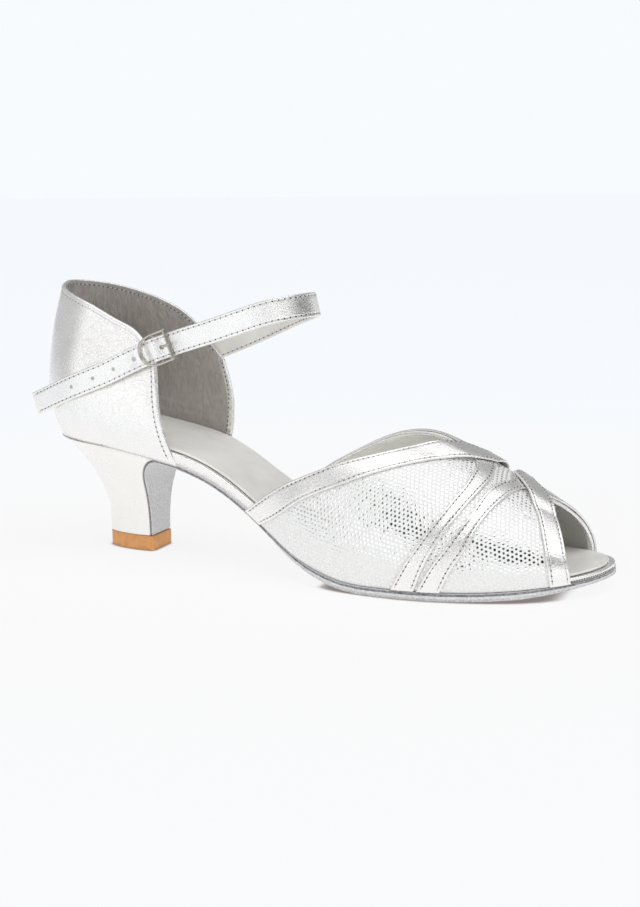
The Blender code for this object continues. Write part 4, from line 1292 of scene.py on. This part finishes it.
def look_at():
    azimuth, elevation, roll = (math.radians(angle) for angle in CAMERA_ANGLES)
    level = np.array([math.sin(azimuth), -math.cos(azimuth), 0.0])
    back = level * math.cos(elevation) + (0.0, 0.0, math.sin(elevation))
    right = np.array([math.cos(azimuth), math.sin(azimuth), 0.0])
    up = np.cross(back, right)
    across = right * math.cos(roll) + up * math.sin(roll)
    upward = up * math.cos(roll) - right * math.sin(roll)
    place = np.array(LOOKED_AT) - (TIP_CENTRE_X, 0.0, 0.0) + back * CAMERA_DISTANCE
    camera = bpy.data.cameras.new("camera")
    camera.sensor_fit = "AUTO"
    camera.sensor_width = 36
    camera.lens = FOCAL_LENGTH * camera.sensor_width
    camera.clip_start = 0.01
    item = bpy.data.objects.new("camera", camera)
    bpy.context.scene.collection.objects.link(item)
    item.matrix_world = Matrix([*zip(across, upward, back, place), (0, 0, 0, 1)])
    bpy.context.scene.camera = item


# Studio: a glowing paper floor, one lamp above, and a room of bright and dark parts that only reflections see.
# The room gives brightness, azimuths from +x and heights, both in degrees, each with how soft its edge is.
FLOOR_GLOW = 0.89
PAPER_FAR = (0.912, 0.948, 0.985)
PAPER_NEAR = (0.940, 0.936, 0.938)
CONTACT_SHADE = (0.24, 0.20, 0.19)
BACKDROP = (0.928, 0.965, 0.990, 1.0)
ROOM_TINT = (0.99, 0.995, 1.0, 1.0)
ROOM_GLOW = 0.5
ROOM = [
    (1.40, (-125, 70, 9), (-90, 90, 1)),
    (0.92, (-22, 62, 12), (-20, 48, 8)),
    (1.14, (-179.9, 179.9, 0.1), (66, 90, 8)),
    (0.34, (40, 135, 8), (10, 59, 5)),
    (0.05, (-12, 46, 6), (5, 27, 5)),
    (0.02, (-111, -84, 5), (21, 71, 5)),
    (0.02, (-71, -24, 6), (14, 51, 5)),
    (0.03, (-95, -76, 4), (-2, 12, 3)),
]


def paper_floor(reach=30):
    """A pale floor that glows, whiter near the shoe, with a painted contact shadow where the shoe touches it."""
    mesh = bpy.data.meshes.new("floor")
    corners = [(-reach, -reach, 0), (reach, -reach, 0), (reach, reach, 0), (-reach, reach, 0)]
    mesh.from_pydata(corners, [], [(0, 1, 2, 3)])
    p = Paint("pale_paper")
    near = p.node("ShaderNodeVectorMath", {0: p.place, 1: (0.085, 0.0, 0.0)}, operation="DISTANCE").outputs["Value"]
    shade = p.blend(p.span(near, 0.12, 0.50), PAPER_NEAR, PAPER_FAR)
    # Ambient occlusion near the shoe turns the floor's glow towards CONTACT_SHADE: a painted contact shadow.
    touch = p.node("ShaderNodeAmbientOcclusion", {"Distance": 0.004}, samples=8).outputs["AO"]
    shade = p.blend(p.span(touch, 0.48, 0.76), CONTACT_SHADE, shade)
    p.set(Roughness=0.8, Specular_IOR_Level=0.0, Emission_Strength=FLOOR_GLOW, Base_Color=(0.15, 0.15, 0.15, 1.0))
    p.tree.links.new(shade, p.shader.inputs["Emission Color"])
    mesh.materials.append(p.material)
    item = bpy.data.objects.new("floor", mesh)
    bpy.context.scene.collection.objects.link(item)


def top_lamp(place=(0.5, -0.5, 1.6), target=(0.08, 0.0, 0.0)):
    light = bpy.data.lights.new("top_lamp", "AREA")
    light.shape = "RECTANGLE"
    light.size, light.size_y = 1.6, 1.6
    light.energy = 5
    item = bpy.data.objects.new("top_lamp", light)
    bpy.context.scene.collection.objects.link(item)
    item.location = place
    item.rotation_euler = (Vector(target) - Vector(place)).to_track_quat("-Z", "Y").to_euler()


def room():
    world = bpy.data.worlds.new("room")
    bpy.context.scene.world = world
    world.use_nodes = True
    tree = world.node_tree

    def step(kind, *inputs, **values):
        node = tree.nodes.new(kind)
        for name, value in values.items():
            setattr(node, name, value)
        for socket, value in zip(node.inputs, inputs):
            if isinstance(value, bpy.types.NodeSocket):
                tree.links.new(value, socket)
            else:
                socket.default_value = value
        return node.outputs[0]

    def window(value, low, high, soft):
        """1 between two angles in degrees, fading over soft degrees at each."""
        low, high, soft = math.radians(low), math.radians(high), math.radians(soft)
        rise = step("ShaderNodeMapRange", value, low - soft, low + soft, 0.0, 1.0, interpolation_type="SMOOTHSTEP")
        fall = step("ShaderNodeMapRange", value, high - soft, high + soft, 1.0, 0.0, interpolation_type="SMOOTHSTEP")
        return step("ShaderNodeMath", rise, fall, operation="MULTIPLY")

    def toward(before, goal, amount):
        change = step("ShaderNodeMath", goal, before, operation="SUBTRACT")
        change = step("ShaderNodeMath", change, amount, operation="MULTIPLY")
        return step("ShaderNodeMath", before, change, operation="ADD")

    parts = tree.nodes.new("ShaderNodeSeparateXYZ")
    tree.links.new(tree.nodes.new("ShaderNodeTexCoord").outputs["Generated"], parts.inputs[0])
    x, y, z = parts.outputs
    azimuth = step("ShaderNodeMath", y, x, operation="ARCTAN2")
    height = step("ShaderNodeMath", z, operation="ARCSINE")
    glow = ROOM_GLOW
    for goal, azimuths, heights in ROOM:
        inside = step("ShaderNodeMath", window(azimuth, *azimuths), window(height, *heights), operation="MULTIPLY")
        glow = toward(glow, goal, inside)
    reflected, seen = tree.nodes["Background"], tree.nodes.new("ShaderNodeBackground")
    tree.links.new(glow, reflected.inputs["Strength"])
    reflected.inputs["Color"].default_value = ROOM_TINT
    seen.inputs["Color"].default_value = BACKDROP
    camera_ray = tree.nodes.new("ShaderNodeLightPath").outputs["Is Camera Ray"]
    either = step("ShaderNodeMixShader", camera_ray)
    tree.links.new(reflected.outputs[0], either.node.inputs[1])
    tree.links.new(seen.outputs[0], either.node.inputs[2])
    tree.links.new(either, tree.nodes["World Output"].inputs["Surface"])


look_at()
paper_floor()
top_lamp()
room()
bpy.context.scene.view_settings.view_transform = "Standard"
